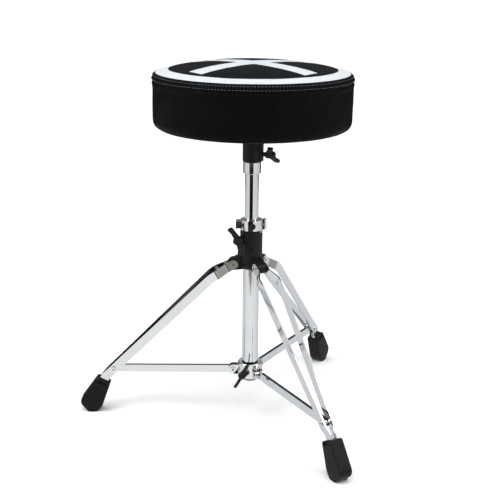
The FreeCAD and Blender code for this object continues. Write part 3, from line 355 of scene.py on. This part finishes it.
class Material:
    """A Principled material built up from procedural nodes, in object coordinates, in metres."""

    def __init__(self, name, roughness, metallic):
        self.material = bpy.data.materials.new(name)
        self.material.use_nodes = True
        self.tree = self.material.node_tree
        self.shader = self.tree.nodes["Principled BSDF"]
        self.shader.inputs["Roughness"].default_value = roughness
        self.shader.inputs["Metallic"].default_value = metallic
        self.where = self.tree.nodes.new("ShaderNodeTexCoord").outputs["Object"]
        self.height = None

    def link(self, source, target):
        self.tree.links.new(source, target)

    def noise(self, scale, detail=3.0):
        node = self.tree.nodes.new("ShaderNodeTexNoise")
        node.inputs["Scale"].default_value = scale
        node.inputs["Detail"].default_value = detail
        self.link(self.where, node.inputs["Vector"])
        return node.outputs["Fac"]

    def cells(self, scale):
        node = self.tree.nodes.new("ShaderNodeTexVoronoi")
        node.feature = "DISTANCE_TO_EDGE"
        node.inputs["Scale"].default_value = scale
        self.link(self.where, node.inputs["Vector"])
        return node.outputs["Distance"]

    def ramp(self, source, low, high):
        """Noise spread over low..high."""
        return map_node(self.tree, source, 0.3, 0.7, low, high)

    def speckle(self, dark, light, scale):
        """Colour that drifts between two near shades."""
        return mix_node(self.tree, self.ramp(self.noise(scale), 0.0, 1.0), dark, light)

    def mottle(self, dark, light, scale):
        """Base colour that drifts between two near shades."""
        self.link(self.speckle(dark, light, scale), self.shader.inputs["Base Color"])

    def wear(self, low, high, scale):
        """Roughness that drifts between two values."""
        self.link(self.ramp(self.noise(scale, 5.0), low, high), self.shader.inputs["Roughness"])

    def bump(self, source, depth, strength=1.0):
        """Relief laid over any relief before it."""
        node = self.tree.nodes.new("ShaderNodeBump")
        node.inputs["Distance"].default_value = depth
        node.inputs["Strength"].default_value = strength
        self.link(source, node.inputs["Height"])
        if self.height is not None:
            self.link(self.height, node.inputs["Normal"])
        self.height = node.outputs["Normal"]
        self.link(self.height, self.shader.inputs["Normal"])


def make_materials():
    """One finished material for each of the record's slots."""
    made = {}

    chrome = Material("chrome_plate", 0.06, 1.0)
    chrome.mottle((0.565, 0.575, 0.58), (0.605, 0.615, 0.62), 25.0)
    chrome.wear(0.03, 0.08, 90.0)
    chrome.bump(chrome.noise(30.0, 2.0), 0.00006, 0.2)
    made["chrome"] = chrome.material

    zinc = Material("zinc_plate", 0.3, 1.0)
    zinc.mottle((0.55, 0.56, 0.58), (0.74, 0.75, 0.76), 400.0)
    zinc.wear(0.22, 0.42, 700.0)
    zinc.bump(zinc.noise(2500.0), 0.00003, 0.5)
    made["zinc"] = zinc.material

    for name, colour, rough in (("black_steel", 0.0045, 0.34), ("black_casting", 0.0055, 0.40)):
        coat = Material(name + "_finish", rough, 0.0)
        coat.shader.inputs["Specular IOR Level"].default_value = 0.16
        coat.mottle((colour * 0.7,) * 3, (colour * 1.5,) * 3, 300.0)
        coat.wear(rough - 0.08, rough + 0.10, 500.0)
        coat.bump(coat.noise(1800.0, 2.0), 0.00006, 0.6)
        made[name] = coat.material

    nylon = Material("black_nylon_finish", 0.45, 0.0)
    nylon.shader.inputs["Specular IOR Level"].default_value = 0.18
    nylon.mottle((0.0035, 0.0035, 0.004), (0.007, 0.007, 0.0075), 350.0)
    nylon.wear(0.38, 0.55, 600.0)
    nylon.bump(nylon.noise(2600.0, 2.0), 0.00004, 0.5)
    made["black_nylon"] = nylon.material

    pale = Material("natural_nylon_finish", 0.5, 0.0)
    pale.mottle((0.66, 0.64, 0.57), (0.78, 0.76, 0.70), 250.0)
    pale.wear(0.4, 0.6, 500.0)
    made["natural_nylon"] = pale.material

    sole_height = 0.0065
    sole_soft = 0.0006
    rubber = Material("foot_rubber", 0.55, 0.0)
    rubber.shader.inputs["Specular IOR Level"].default_value = 0.16
    rubber.mottle((0.0020, 0.0024, 0.0028), (0.0042, 0.0048, 0.0054), 220.0)
    rubber.wear(0.44, 0.66, 400.0)
    rubber.bump(rubber.noise(1400.0), 0.00008, 0.5)
    # the sole's shallow ribs, up to a little above the floor
    split = rubber.tree.nodes.new("ShaderNodeSeparateXYZ")
    rubber.link(rubber.where, split.inputs[0])
    sole = map_node(rubber.tree, split.outputs[2], sole_height - sole_soft, sole_height, 1.0, 0.0)
    wave = rubber.tree.nodes.new("ShaderNodeTexWave")
    wave.wave_type = "RINGS"
    wave.rings_direction = "Z"
    wave.inputs["Scale"].default_value = 95.0
    rubber.link(rubber.where, wave.inputs["Vector"])
    rubber.bump(math_node(rubber.tree, "MULTIPLY", wave.outputs["Fac"], sole), 0.0012)
    made["rubber"] = rubber.material

    ply = Material("stained_ply", 0.6, 0.0)
    ply.mottle((0.016, 0.014, 0.012), (0.034, 0.031, 0.028), 40.0)
    ply.wear(0.5, 0.7, 90.0)
    ply.bump(ply.noise(600.0), 0.00012, 0.5)
    made["plywood"] = ply.material

    foam = Material("cushion_foam", 0.9, 0.0)
    foam.mottle((0.70, 0.66, 0.52), (0.86, 0.82, 0.68), 120.0)
    foam.bump(foam.cells(700.0), 0.0004, 0.7)
    made["foam"] = foam.material

    made["vinyl"] = make_vinyl()
    return made


def make_vinyl():
    """Black seat vinyl, with the pale ring and two crossed sticks printed on its top."""
    vinyl = Material("seat_vinyl", 0.55, 0.0)
    vinyl.shader.inputs["Specular IOR Level"].default_value = 0.03
    tree = vinyl.tree
    maths = partial(math_node, tree)
    split = tree.nodes.new("ShaderNodeSeparateXYZ")
    vinyl.link(vinyl.where, split.inputs[0])
    x, y, z = split.outputs

    def length(first, second):
        squares = maths("ADD", maths("MULTIPLY", first, first), maths("MULTIPLY", second, second))
        return maths("SQRT", squares)

    def inside(value, limit):
        """1 where value is under limit, with an edge as soft as printing ink's."""
        return map_node(tree, value, limit - PRINT_EDGE, limit + PRINT_EDGE, 1.0, 0.0)

    def stick(degrees):
        """Drumstick: a shaft that tapers to a neck, with an oval tip."""
        c, s = math.cos(math.radians(degrees)), math.sin(math.radians(degrees))
        ahead = maths("ADD", y, STICKS_FORWARD)
        along = maths("ADD", maths("MULTIPLY", x, c), maths("MULTIPLY", ahead, s))
        across = maths("ABSOLUTE", maths("SUBTRACT", maths("MULTIPLY", ahead, c), maths("MULTIPLY", x, s)))
        half_width = map_node(tree, along, *STICK_TAPER, *STICK_HALF_WIDTHS)
        between_ends = maths("MULTIPLY", inside(along, STICK_NECK),
                             inside(maths("MULTIPLY", along, -1.0), STICK_BUTT))
        shaft = maths("MULTIPLY", inside(maths("SUBTRACT", across, half_width), 0.0), between_ends)
        from_tip = maths("DIVIDE", maths("SUBTRACT", along, STICK_TIP), STICK_TIP_STRETCH)
        return maths("MAXIMUM", shaft, inside(length(from_tip, across), STICK_TIP_RADIUS))

    radius = length(x, y)
    ring = maths("SUBTRACT", inside(radius, RING_OUTER), inside(radius, RING_INNER))
    motif = maths("MAXIMUM", *[stick(degrees) for degrees in STICK_TURNS])
    on_top = maths("GREATER_THAN", z, SEAM_LEVEL)
    printed = maths("MULTIPLY", maths("MAXIMUM", ring, motif), on_top)
    black = vinyl.speckle((0.0016, 0.0019, 0.0022), (0.0026, 0.0030, 0.0034), 90.0)
    white = vinyl.speckle((0.425, 0.45, 0.465), (0.47, 0.49, 0.505), 70.0)
    vinyl.link(mix_node(tree, printed, black, white), vinyl.shader.inputs["Base Color"])
    vinyl.wear(0.44, 0.50, 160.0)
    vinyl.bump(vinyl.noise(14.0, 2.0), 0.0005, 0.20)
    vinyl.bump(vinyl.cells(850.0), 0.00012, 0.45)
    return vinyl.material


# ---------------------------------------------------------------- mesh helpers

def add_mesh(name, points, faces, material, body):
    """New smooth-shaded piece that rides on a body."""
    mesh = bpy.data.meshes.new(name)
    mesh.from_pydata([tuple(point) for point in points], [], faces)
    mesh.update()
    for face in mesh.polygons:
        face.use_smooth = True
    mesh.materials.append(material)
    piece = bpy.data.objects.new(name, mesh)
    scene.collection.objects.link(piece)
    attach(piece, body)
    return piece


def revolved(profile, count):
    """Points and faces of a profile [(radius, height)] turned round the post; an end may be on the axis."""
    points = []
    rings = []
    for radius, height in profile:
        if radius < 1e-6:
            rings.append([len(points)])
            points.append(Vector((0.0, 0.0, height)))
            continue
        start = len(points)
        for step in range(count):
            turn = 2.0 * math.pi * step / count
            points.append(Vector((radius * math.cos(turn), radius * math.sin(turn), height)))
        rings.append(list(range(start, start + count)))
    faces = []
    for lower, upper in zip(rings, rings[1:]):
        for step in range(count):
            after = (step + 1) % count
            corners = [lower[step % len(lower)], lower[after % len(lower)],
                       upper[after % len(upper)], upper[step % len(upper)]]
            faces.append(list(dict.fromkeys(corners)))
    return points, faces


def tidy_normals(piece):
    """Faces all turned outwards."""
    clean = bmesh.new()
    clean.from_mesh(piece.data)
    bmesh.ops.recalc_face_normals(clean, faces=clean.faces)
    clean.to_mesh(piece.data)
    clean.free()


def cut_away(piece, shape):
    """Cut a bmesh shape out of a piece."""
    tool_mesh = bpy.data.meshes.new("cutter")
    shape.to_mesh(tool_mesh)
    shape.free()
    tool = bpy.data.objects.new("cutter", tool_mesh)
    scene.collection.objects.link(tool)
    cut = piece.modifiers.new("hole", "BOOLEAN")
    cut.operation = "DIFFERENCE"
    cut.solver = "EXACT"
    cut.object = tool
    bpy.context.view_layer.objects.active = piece
    bpy.ops.object.modifier_apply(modifier=cut.name)
    bpy.data.objects.remove(tool)


def drill(piece, centre, axis, radius):
    """Round hole right through a piece."""
    shape = bmesh.new()
    place = Matrix.Translation(centre) @ axis.to_track_quat("Z", "Y").to_matrix().to_4x4()
    bmesh.ops.create_cone(shape, cap_ends=True, segments=32, radius1=radius, radius2=radius,
                          depth=0.1, matrix=place)
    cut_away(piece, shape)


def round_edges(piece, width):
    """Small rounded edges, with the large faces kept flat."""
    bevel = piece.modifiers.new("rounded_edges", "BEVEL")
    bevel.width = width
    bevel.segments = 2
    bevel.limit_method = "ANGLE"
    bevel.angle_limit = math.radians(50.0)
    weighted = piece.modifiers.new("flat_faces", "WEIGHTED_NORMAL")
    weighted.weight = 100
    weighted.keep_sharp = True


# ---------------------------------------------------------------- legs

def leg_frame(index):
    """Turn about the post that carries the leg's own plane to its place, and the pivot in that plane."""
    pivot = next(joint["pos_m"] for joint in frame["joints"] if joint["name"] == f"leg_{index}_fold")
    turn = Matrix.Rotation(math.atan2(pivot[1], pivot[0]), 4, "Z")
    return turn, (math.hypot(pivot[0], pivot[1]), pivot[2])


def strap_path(corners, rounds, step):
    """Points along a bent line, with its inner corners rounded, and the direction at each."""
    line = [Vector(corner) for corner in corners]
    found = [(line[0], (line[1] - line[0]).normalized())]
    for before, bend, after, radius in zip(line, line[1:], line[2:], rounds):
        inward = (bend - before).normalized()
        onward = (after - bend).normalized()
        turn = inward.angle_signed(onward)
        cut = radius * math.tan(abs(turn) / 2.0)
        count = max(3, math.ceil(abs(turn) * radius / step))
        start = bend - inward * cut
        sideways = Vector((-inward.y, inward.x)) * (-1.0 if turn > 0.0 else 1.0)
        for number in range(count + 1):
            angle = abs(turn) * number / count
            forward = radius * math.sin(angle)
            off = radius * (1.0 - math.cos(angle))
            spot = start + inward * forward + sideways * off
            way = inward * math.cos(angle) + sideways * math.sin(angle)
            found.append((spot, way))
    found.append((line[-1], (line[-1] - line[-2]).normalized()))
    return found


def between(stops, place):
    """Straight-line value at a place along [(place, value)]."""
    for (start, low), (end, high) in zip(stops, stops[1:]):
        if place <= end:
            return low + (high - low) * (place - start) / (end - start)
    return stops[-1][1]


def eased_stops(stops, ease):
    """Each bend of a straight-line run is eased over a short length, as sheet metal bends."""
    eased = [stops[0]]
    for place, _ in stops[1:-1]:
        for part, spread in ((-1.0, 0.0), (-0.4, 0.5), (0.4, 0.5), (1.0, 0.0)):
            near = [between(stops, place + ease * (part + shift)) for shift in (-spread, 0.0, spread)]
            eased.append((place + ease * part, sum(near) / 3.0))
    return eased + [stops[-1]]


def segment_gap(start, end, point):
    """Distance of a point from a segment."""
    along = end - start
    part = (Vector(point) - start).dot(along) / max(along.length_squared, 1e-12)
    return (start + along * min(1.0, max(0.0, part)) - Vector(point)).length


def path_at(path, places, place):
    """Point and direction at a distance along the path; before its start the first direction goes on."""
    for (one, way), (two, next_way), start, end in zip(path, path[1:], places, places[1:]):
        if place <= end:
            part = (place - start) / (end - start)
            return one.lerp(two, part), way.lerp(next_way, max(0.0, part)).normalized()
    return path[-1]


def leg_strap(index, word, side, materials):
    """A chrome leg strap as bent flat bar: flat panels, eased bends and rounded edges."""
    turn, pivot = leg_frame(index)
    low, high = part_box("leg_1_rivets")
    rivet = (-(low[0] + high[0]) / 2.0, (low[2] + high[2]) / 2.0)
    lean = math.radians(FOOT_LEAN)
    into_foot = Vector((math.cos(lean), -math.sin(lean)))
    foot = Vector(FOOT_TOP)
    shank = (Vector(rivet) - Vector(KNEE)).normalized()
    run = foot - Vector(KNEE)
    toe = Vector(KNEE) + shank * (run.cross(into_foot) / shank.cross(into_foot))
    end = foot + into_foot * STRAP_IN_FOOT
    path = strap_path([pivot, KNEE, toe, end], [KNEE_ROUND, TOE_ROUND], PATH_STEP)
    # distance along the strap at each point of the path
    places = [0.0]
    for (one, _), (two, _) in zip(path, path[1:]):
        places.append(places[-1] + (two - one).length)

    def place_of(point):
        nearest = min(range(len(path) - 1), key=lambda k: segment_gap(path[k][0], path[k + 1][0], point))
        start, finish = path[nearest][0], path[nearest + 1][0]
        return places[nearest] + (Vector(point) - start).dot((finish - start).normalized())

    stops = [
        (-STRAP_HALF, HUB_HALF),
        (FLARE_START, HUB_HALF),
        (FLARE_END, SPREAD_HALF),
        (place_of(rivet) - RIVET_FLAT, RIVET_HALF),
        (place_of(rivet) + RIVET_FLAT_BELOW, RIVET_HALF),
        (place_of(foot) - FOOT_JOIN, FOOT_HALF),
        (places[-1], FOOT_HALF),
    ]
    stops = eased_stops(stops, BEND_EASE)
    bends = [place for place, _ in stops[1:]]
    round_end = [-STRAP_HALF * math.cos(math.radians(angle)) for angle in range(5, 91, 10)]
    stations = sorted({round(place, 6) for place in places[1:] + bends + round_end})
    points = []
    for place in stations:
        spot, way = path_at(path, places, place)
        half = STRAP_HALF
        if place < 0.0:
            half = math.sqrt(max(STRAP_HALF ** 2 - place ** 2, 0.0))
        across = Vector((-way.y, way.x)) * half
        level = between(stops, place)
        for edge, depth in ((1, -1), (1, 1), (-1, 1), (-1, -1)):
            corner = spot + across * edge
            points.append(turn @ Vector((corner.x, side * (level + depth * STRAP_THICK / 2.0), corner.y)))
    faces = [[0, 1, 2, 3], [len(points) - k for k in (1, 2, 3, 4)]]
    for start in range(0, len(points) - 4, 4):
        for corner in range(4):
            after = (corner + 1) % 4
            faces.append([start + corner, start + 4 + corner, start + 4 + after, start + after])
    strap = add_mesh(f"leg_{index}_bar_{word}", points, faces, materials["chrome"], f"leg_{index}")
    tidy_normals(strap)
    for (out, up), radius in ((rivet, RIVET_HOLE), (pivot, PIVOT_HOLE)):
        drill(strap, turn @ Vector((out, 0.0, up)), turn @ Vector((0.0, 1.0, 0.0)), radius)
    round_edges(strap, STRAP_EDGE)
    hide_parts(f"leg_{index}_strap_{word}")


def moulded_foot(index, materials):
    """The rubber foot with a moulded recess across each side, under its rim."""
    turn, _ = leg_frame(index)
    source = nodes[f"leg_{index}_foot"]
    foot = bpy.data.objects.new(f"leg_{index}_moulded_foot", source.data.copy())
    scene.collection.objects.link(foot)
    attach(foot, f"leg_{index}")
    weld = bmesh.new()
    weld.from_mesh(foot.data)
    bmesh.ops.remove_doubles(weld, verts=weld.verts, dist=1e-5)
    weld.to_mesh(foot.data)
    weld.free()
    lean = math.radians(FOOT_LEAN)
    along = Vector((math.cos(lean), 0.0, -math.sin(lean)))
    across = Vector((math.sin(lean), 0.0, math.cos(lean)))
    low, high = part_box("leg_1_foot")
    half = (high[1] - low[1]) / 2.0
    for side in (-1.0, 1.0):
        middle = Vector((FOOT_TOP[0], side * (half - RECESS_DEPTH + RECESS_CUTTER / 2.0), FOOT_TOP[1]))
        middle += along * (RECESS_START + RECESS_HEIGHT / 2.0)
        columns = (along * RECESS_HEIGHT, Vector((0.0, RECESS_CUTTER, 0.0)), across * RECESS_WIDTH)
        size = Matrix(columns).transposed().to_4x4()
        shape = bmesh.new()
        bmesh.ops.create_cube(shape, size=1.0, matrix=turn @ Matrix.Translation(middle) @ size)
        bmesh.ops.recalc_face_normals(shape, faces=shape.faces)
        cut_away(foot, shape)
    foot.data.materials.clear()
    foot.data.materials.append(materials["rubber"])
    for face in foot.data.polygons:
        face.use_smooth = True
    foot.data.set_sharp_from_angle(angle=math.radians(32.0))
    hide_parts(f"leg_{index}_foot")


# ---------------------------------------------------------------- seat

def smooth_profile(corners, step):
    """Points along a line through the corners, no further apart than step."""
    found = [corners[0]]
    for (r0, z0), (r1, z1) in zip(corners, corners[1:]):
        parts = max(1, math.ceil(math.hypot(r1 - r0, z1 - z0) / step))
        for part in range(1, parts + 1):
            found.append((r0 + (r1 - r0) * part / parts, z0 + (z1 - z0) * part / parts))
    return found


def arc(centre, radius, start, end, count):
    """Points of an arc from start to end, in degrees."""
    angles = [math.radians(start + (end - start) * k / count) for k in range(count + 1)]
    return [(centre[0] + radius * math.cos(angle), centre[1] + radius * math.sin(angle)) for angle in angles]


def crown_level(radius):
    """Height of the domed top at a distance from the middle."""
    part = (radius / RING_INNER) ** 2
    return SEAT_CROWN - CROWN_FALL * part - CROWN_STEEPER * part * part


def cushion_profile(inset):
    """Outside of the cushion from its underside to its crown, drawn in by inset."""
    corner = arc((SEAT_RADIUS - SEAT_CORNER, SEAT_BOTTOM + SEAT_CORNER), SEAT_CORNER - inset, -90.0, 0.0, 8)
    side = [(SEAT_RADIUS - inset, SIDE_MIDDLE), (SEAT_RADIUS - inset, SEAM_LEVEL - 0.002)]
    shoulder = arc((SEAT_RADIUS - SHOULDER_RADIUS, SHOULDER_LEVEL), SHOULDER_RADIUS - inset, 4.0, 58.0, 8)
    radii = (0.162, 0.146, 0.120, 0.090, 0.060, 0.030, 0.0)
    top = [(radius, crown_level(radius) - inset) for radius in radii]
    return [(0.0, SEAT_BOTTOM + inset)] + corner + side + shoulder + top


def swelled_pad():
    """The cushion blown up by cloth simulation inside its cover, as a surface to lay the cover on."""
    points, faces = revolved(smooth_profile(cushion_profile(PAD_INSET), PAD_GRAIN), 180)
    mesh = bpy.data.meshes.new("swelled_pad")
    mesh.from_pydata([tuple(point) for point in points], [], faces)
    pad = bpy.data.objects.new("swelled_pad", mesh)
    scene.collection.objects.link(pad)
    bpy.context.view_layer.objects.active = pad
    remesh = pad.modifiers.new("remesh", "REMESH")
    remesh.mode = "VOXEL"
    remesh.voxel_size = PAD_GRAIN
    bpy.ops.object.modifier_apply(modifier=remesh.name)
    rest = [vertex.co.copy() for vertex in pad.data.vertices]
    # the board holds the underside, and the seam's cord holds the rim
    held = pad.vertex_groups.new(name="held")
    for vertex in pad.data.vertices:
        radius = math.hypot(vertex.co.x, vertex.co.y)
        on_board = vertex.co.z < SEAT_BOTTOM + PAD_GRAIN
        at_seam = abs(vertex.co.z - SEAM_LEVEL) < 0.0035 and radius > SEAT_RADIUS - 0.008
        if on_board or at_seam:
            held.add([vertex.index], 1.0, "REPLACE")
    cloth = pad.modifiers.new("cloth", "CLOTH")
    cloth.settings.quality = 5
    cloth.settings.mass = 0.4
    cloth.settings.tension_stiffness = 40.0
    cloth.settings.compression_stiffness = 40.0
    cloth.settings.use_pressure = True
    cloth.settings.uniform_pressure_force = 4.0
    cloth.settings.effector_weights.gravity = 0.0
    cloth.settings.vertex_group_mass = held.name
    for step in range(1, 21):
        scene.frame_set(step)
    bpy.ops.object.modifier_apply(modifier=cloth.name)
    for vertex, start in zip(pad.data.vertices, rest):
        move = vertex.co - start
        if move.length > SWELL_CAP:
            vertex.co = start + move.normalized() * SWELL_CAP
    scene.frame_set(1)
    return pad


def lay_on(points, faces, pad):
    """Move the cover's points unevenly, as the pad swelled, with the remesh's steps evened out."""
    tree = BVHTree.FromObject(pad, bpy.context.evaluated_depsgraph_get())
    near = [set() for _ in points]
    for face in faces:
        for first, second in zip(face, face[1:] + face[:1]):
            near[first].add(second)
            near[second].add(first)
    moves = []
    for point in points:
        found = tree.find_nearest(point)[0]
        move = found - point
        moves.append(move if move.length < SWELL_CAP * 1.5 else Vector())
    for _ in range(24):
        moves = [sum((moves[k] for k in near[index]), moves[index]) / (len(near[index]) + 1)
                 for index in range(len(moves))]
    # the fitted profile stays; only a part of the swelling's unevenness round each ring is kept
    rings = {}
    for index, point in enumerate(points):
        rings.setdefault((round(math.hypot(point.x, point.y), 5), round(point.z, 5)), []).append(index)
    laid = list(points)
    for members in rings.values():
        outward = [Vector((points[k].x, points[k].y, 0.0)).normalized() for k in members]
        out = sum(moves[k].dot(way) for k, way in zip(members, outward)) / len(members)
        up = sum(moves[k].z for k in members) / len(members)
        for k, way in zip(members, outward):
            uneven = moves[k] - way * out - Vector((0.0, 0.0, up))
            laid[k] = points[k] + uneven * UNEVENNESS
    return laid


def seam_and_puckers(point):
    """Sewn seam round the rim, puckers either side of it, drifts in the side panel and its join behind."""
    radius = math.hypot(point.x, point.y)
    if radius < 0.12 or point.z < SEAT_BOTTOM + HEM_RISE:
        return point
    turn = math.atan2(point.y, point.x)
    rise = point.z - SEAM_LEVEL
    groove = -0.0016 * math.exp(-(rise / 0.0013) ** 2)
    roll = 0.0009 * math.exp(-((abs(rise) - 0.0040) / 0.0024) ** 2)
    pucker = 0.00022 * math.sin(turn * 92.0) * math.exp(-(rise / 0.008) ** 2)
    drift = 0.0
    panel_join = 0.0
    if rise < 0.0:
        drift = 0.0005 * math.sin(turn * 7.0 + 1.3 + rise * 40.0)
        drift += 0.0003 * math.sin(turn * 17.0 - rise * 90.0)
        drift *= min(1.0, -rise / 0.02)
        panel_join = -0.0010 * math.exp(-((turn - 1.9) * radius / 0.0011) ** 2)
    scale = (radius + groove + roll + pucker + drift + panel_join) / radius
    return Vector((point.x * scale, point.y * scale, point.z))


def make_cover(materials):
    """The seat's sewn cover, open underneath inside its hem, where the board shows."""
    points, faces = revolved(smooth_profile(cushion_profile(0.0), 0.0022), 360)
    pad = swelled_pad()
    points = lay_on(points, faces, pad)
    bpy.data.objects.remove(pad)
    points = [seam_and_puckers(point) for point in points]

    def inside_hem(point):
        return point.z < SEAT_BOTTOM + HEM_RISE and math.hypot(point.x, point.y) < HEM_RADIUS

    keep = [face for face in faces if not all(inside_hem(points[k]) for k in face)]
    cover = add_mesh("seat_cover_sewn", points, keep, materials["vinyl"], "seat")
    clean = bmesh.new()
    clean.from_mesh(cover.data)
    loose = [vertex for vertex in clean.verts if not vertex.link_faces]
    bmesh.ops.delete(clean, geom=loose, context="VERTS")
    bmesh.ops.recalc_face_normals(clean, faces=clean.faces)
    clean.to_mesh(cover.data)
    clean.free()
    thickness = cover.modifiers.new("vinyl_thickness", "SOLIDIFY")
    thickness.thickness = VINYL_THICK
    thickness.offset = -1.0
    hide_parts("seat_cover")
    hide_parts("seat_foam")


def stitch_row(name, radius, level, tilt):
    """A row of short thread stitches round the rim, each a small rounded bead of thread."""
    points = []
    faces = []
    sides = 6
    length = 2.0 * math.pi * radius / STITCHES * STITCHED
    lean = math.radians(tilt)
    for number in range(STITCHES):
        turn = 2.0 * math.pi * number / STITCHES
        outward = Vector((math.cos(turn) * math.cos(lean), math.sin(turn) * math.cos(lean), math.sin(lean)))
        along = Vector((-math.sin(turn), math.cos(turn), 0.0))
        up = outward.cross(along)
        centre = Vector((radius * math.cos(turn), radius * math.sin(turn), level))
        start = len(points)
        for place, thick in ((-0.5, 0.15), (-0.32, 0.8), (0.0, 1.0), (0.32, 0.8), (0.5, 0.15)):
            for side in range(sides):
                angle = 2.0 * math.pi * side / sides
                around = outward * math.cos(angle) + up * math.sin(angle)
                points.append(centre + along * (place * length) + around * (THREAD_RADIUS * thick))
        for band in range(4):
            for side in range(sides):
                after = (side + 1) % sides
                faces.append([start + band * sides + side, start + band * sides + after,
                              start + (band + 1) * sides + after, start + (band + 1) * sides + side])
    thread = Material(name + "_thread", 0.55, 0.0)
    thread.mottle((0.04, 0.04, 0.045), (0.09, 0.09, 0.10), 900.0)
    thread.bump(thread.noise(5000.0), 0.00005, 0.7)
    add_mesh(name, points, faces, thread.material, "seat")


def finish_cad(materials):
    """Give each CAD piece the finish of its slot."""
    for entry in frame["record"]["subparts"]:
        node = nodes[entry["node"]]
        # the seat's wing stud looks black in the photograph
        finish = "black_steel" if entry["node"] == "seat_wing_stud" else entry["material_slot"]
        for place in node.material_slots:
            place.material = materials[finish]
        if not node.material_slots:
            node.data.materials.append(materials[finish])


def main():
    """The whole scene: studio, finishes and the visual pieces."""
    scene.view_settings.view_transform = "Standard"
    add_camera()
    add_world()
    add_lights()
    add_floor()
    add_backdrop()
    materials = make_materials()
    finish_cad(materials)
    for index in (1, 2, 3):
        leg_strap(index, "left", -1, materials)
        leg_strap(index, "right", 1, materials)
        moulded_foot(index, materials)
    make_cover(materials)
    stitch_row("rim_stitches_upper", *UPPER_ROW)
    stitch_row("rim_stitches_lower", *LOWER_ROW)


main()
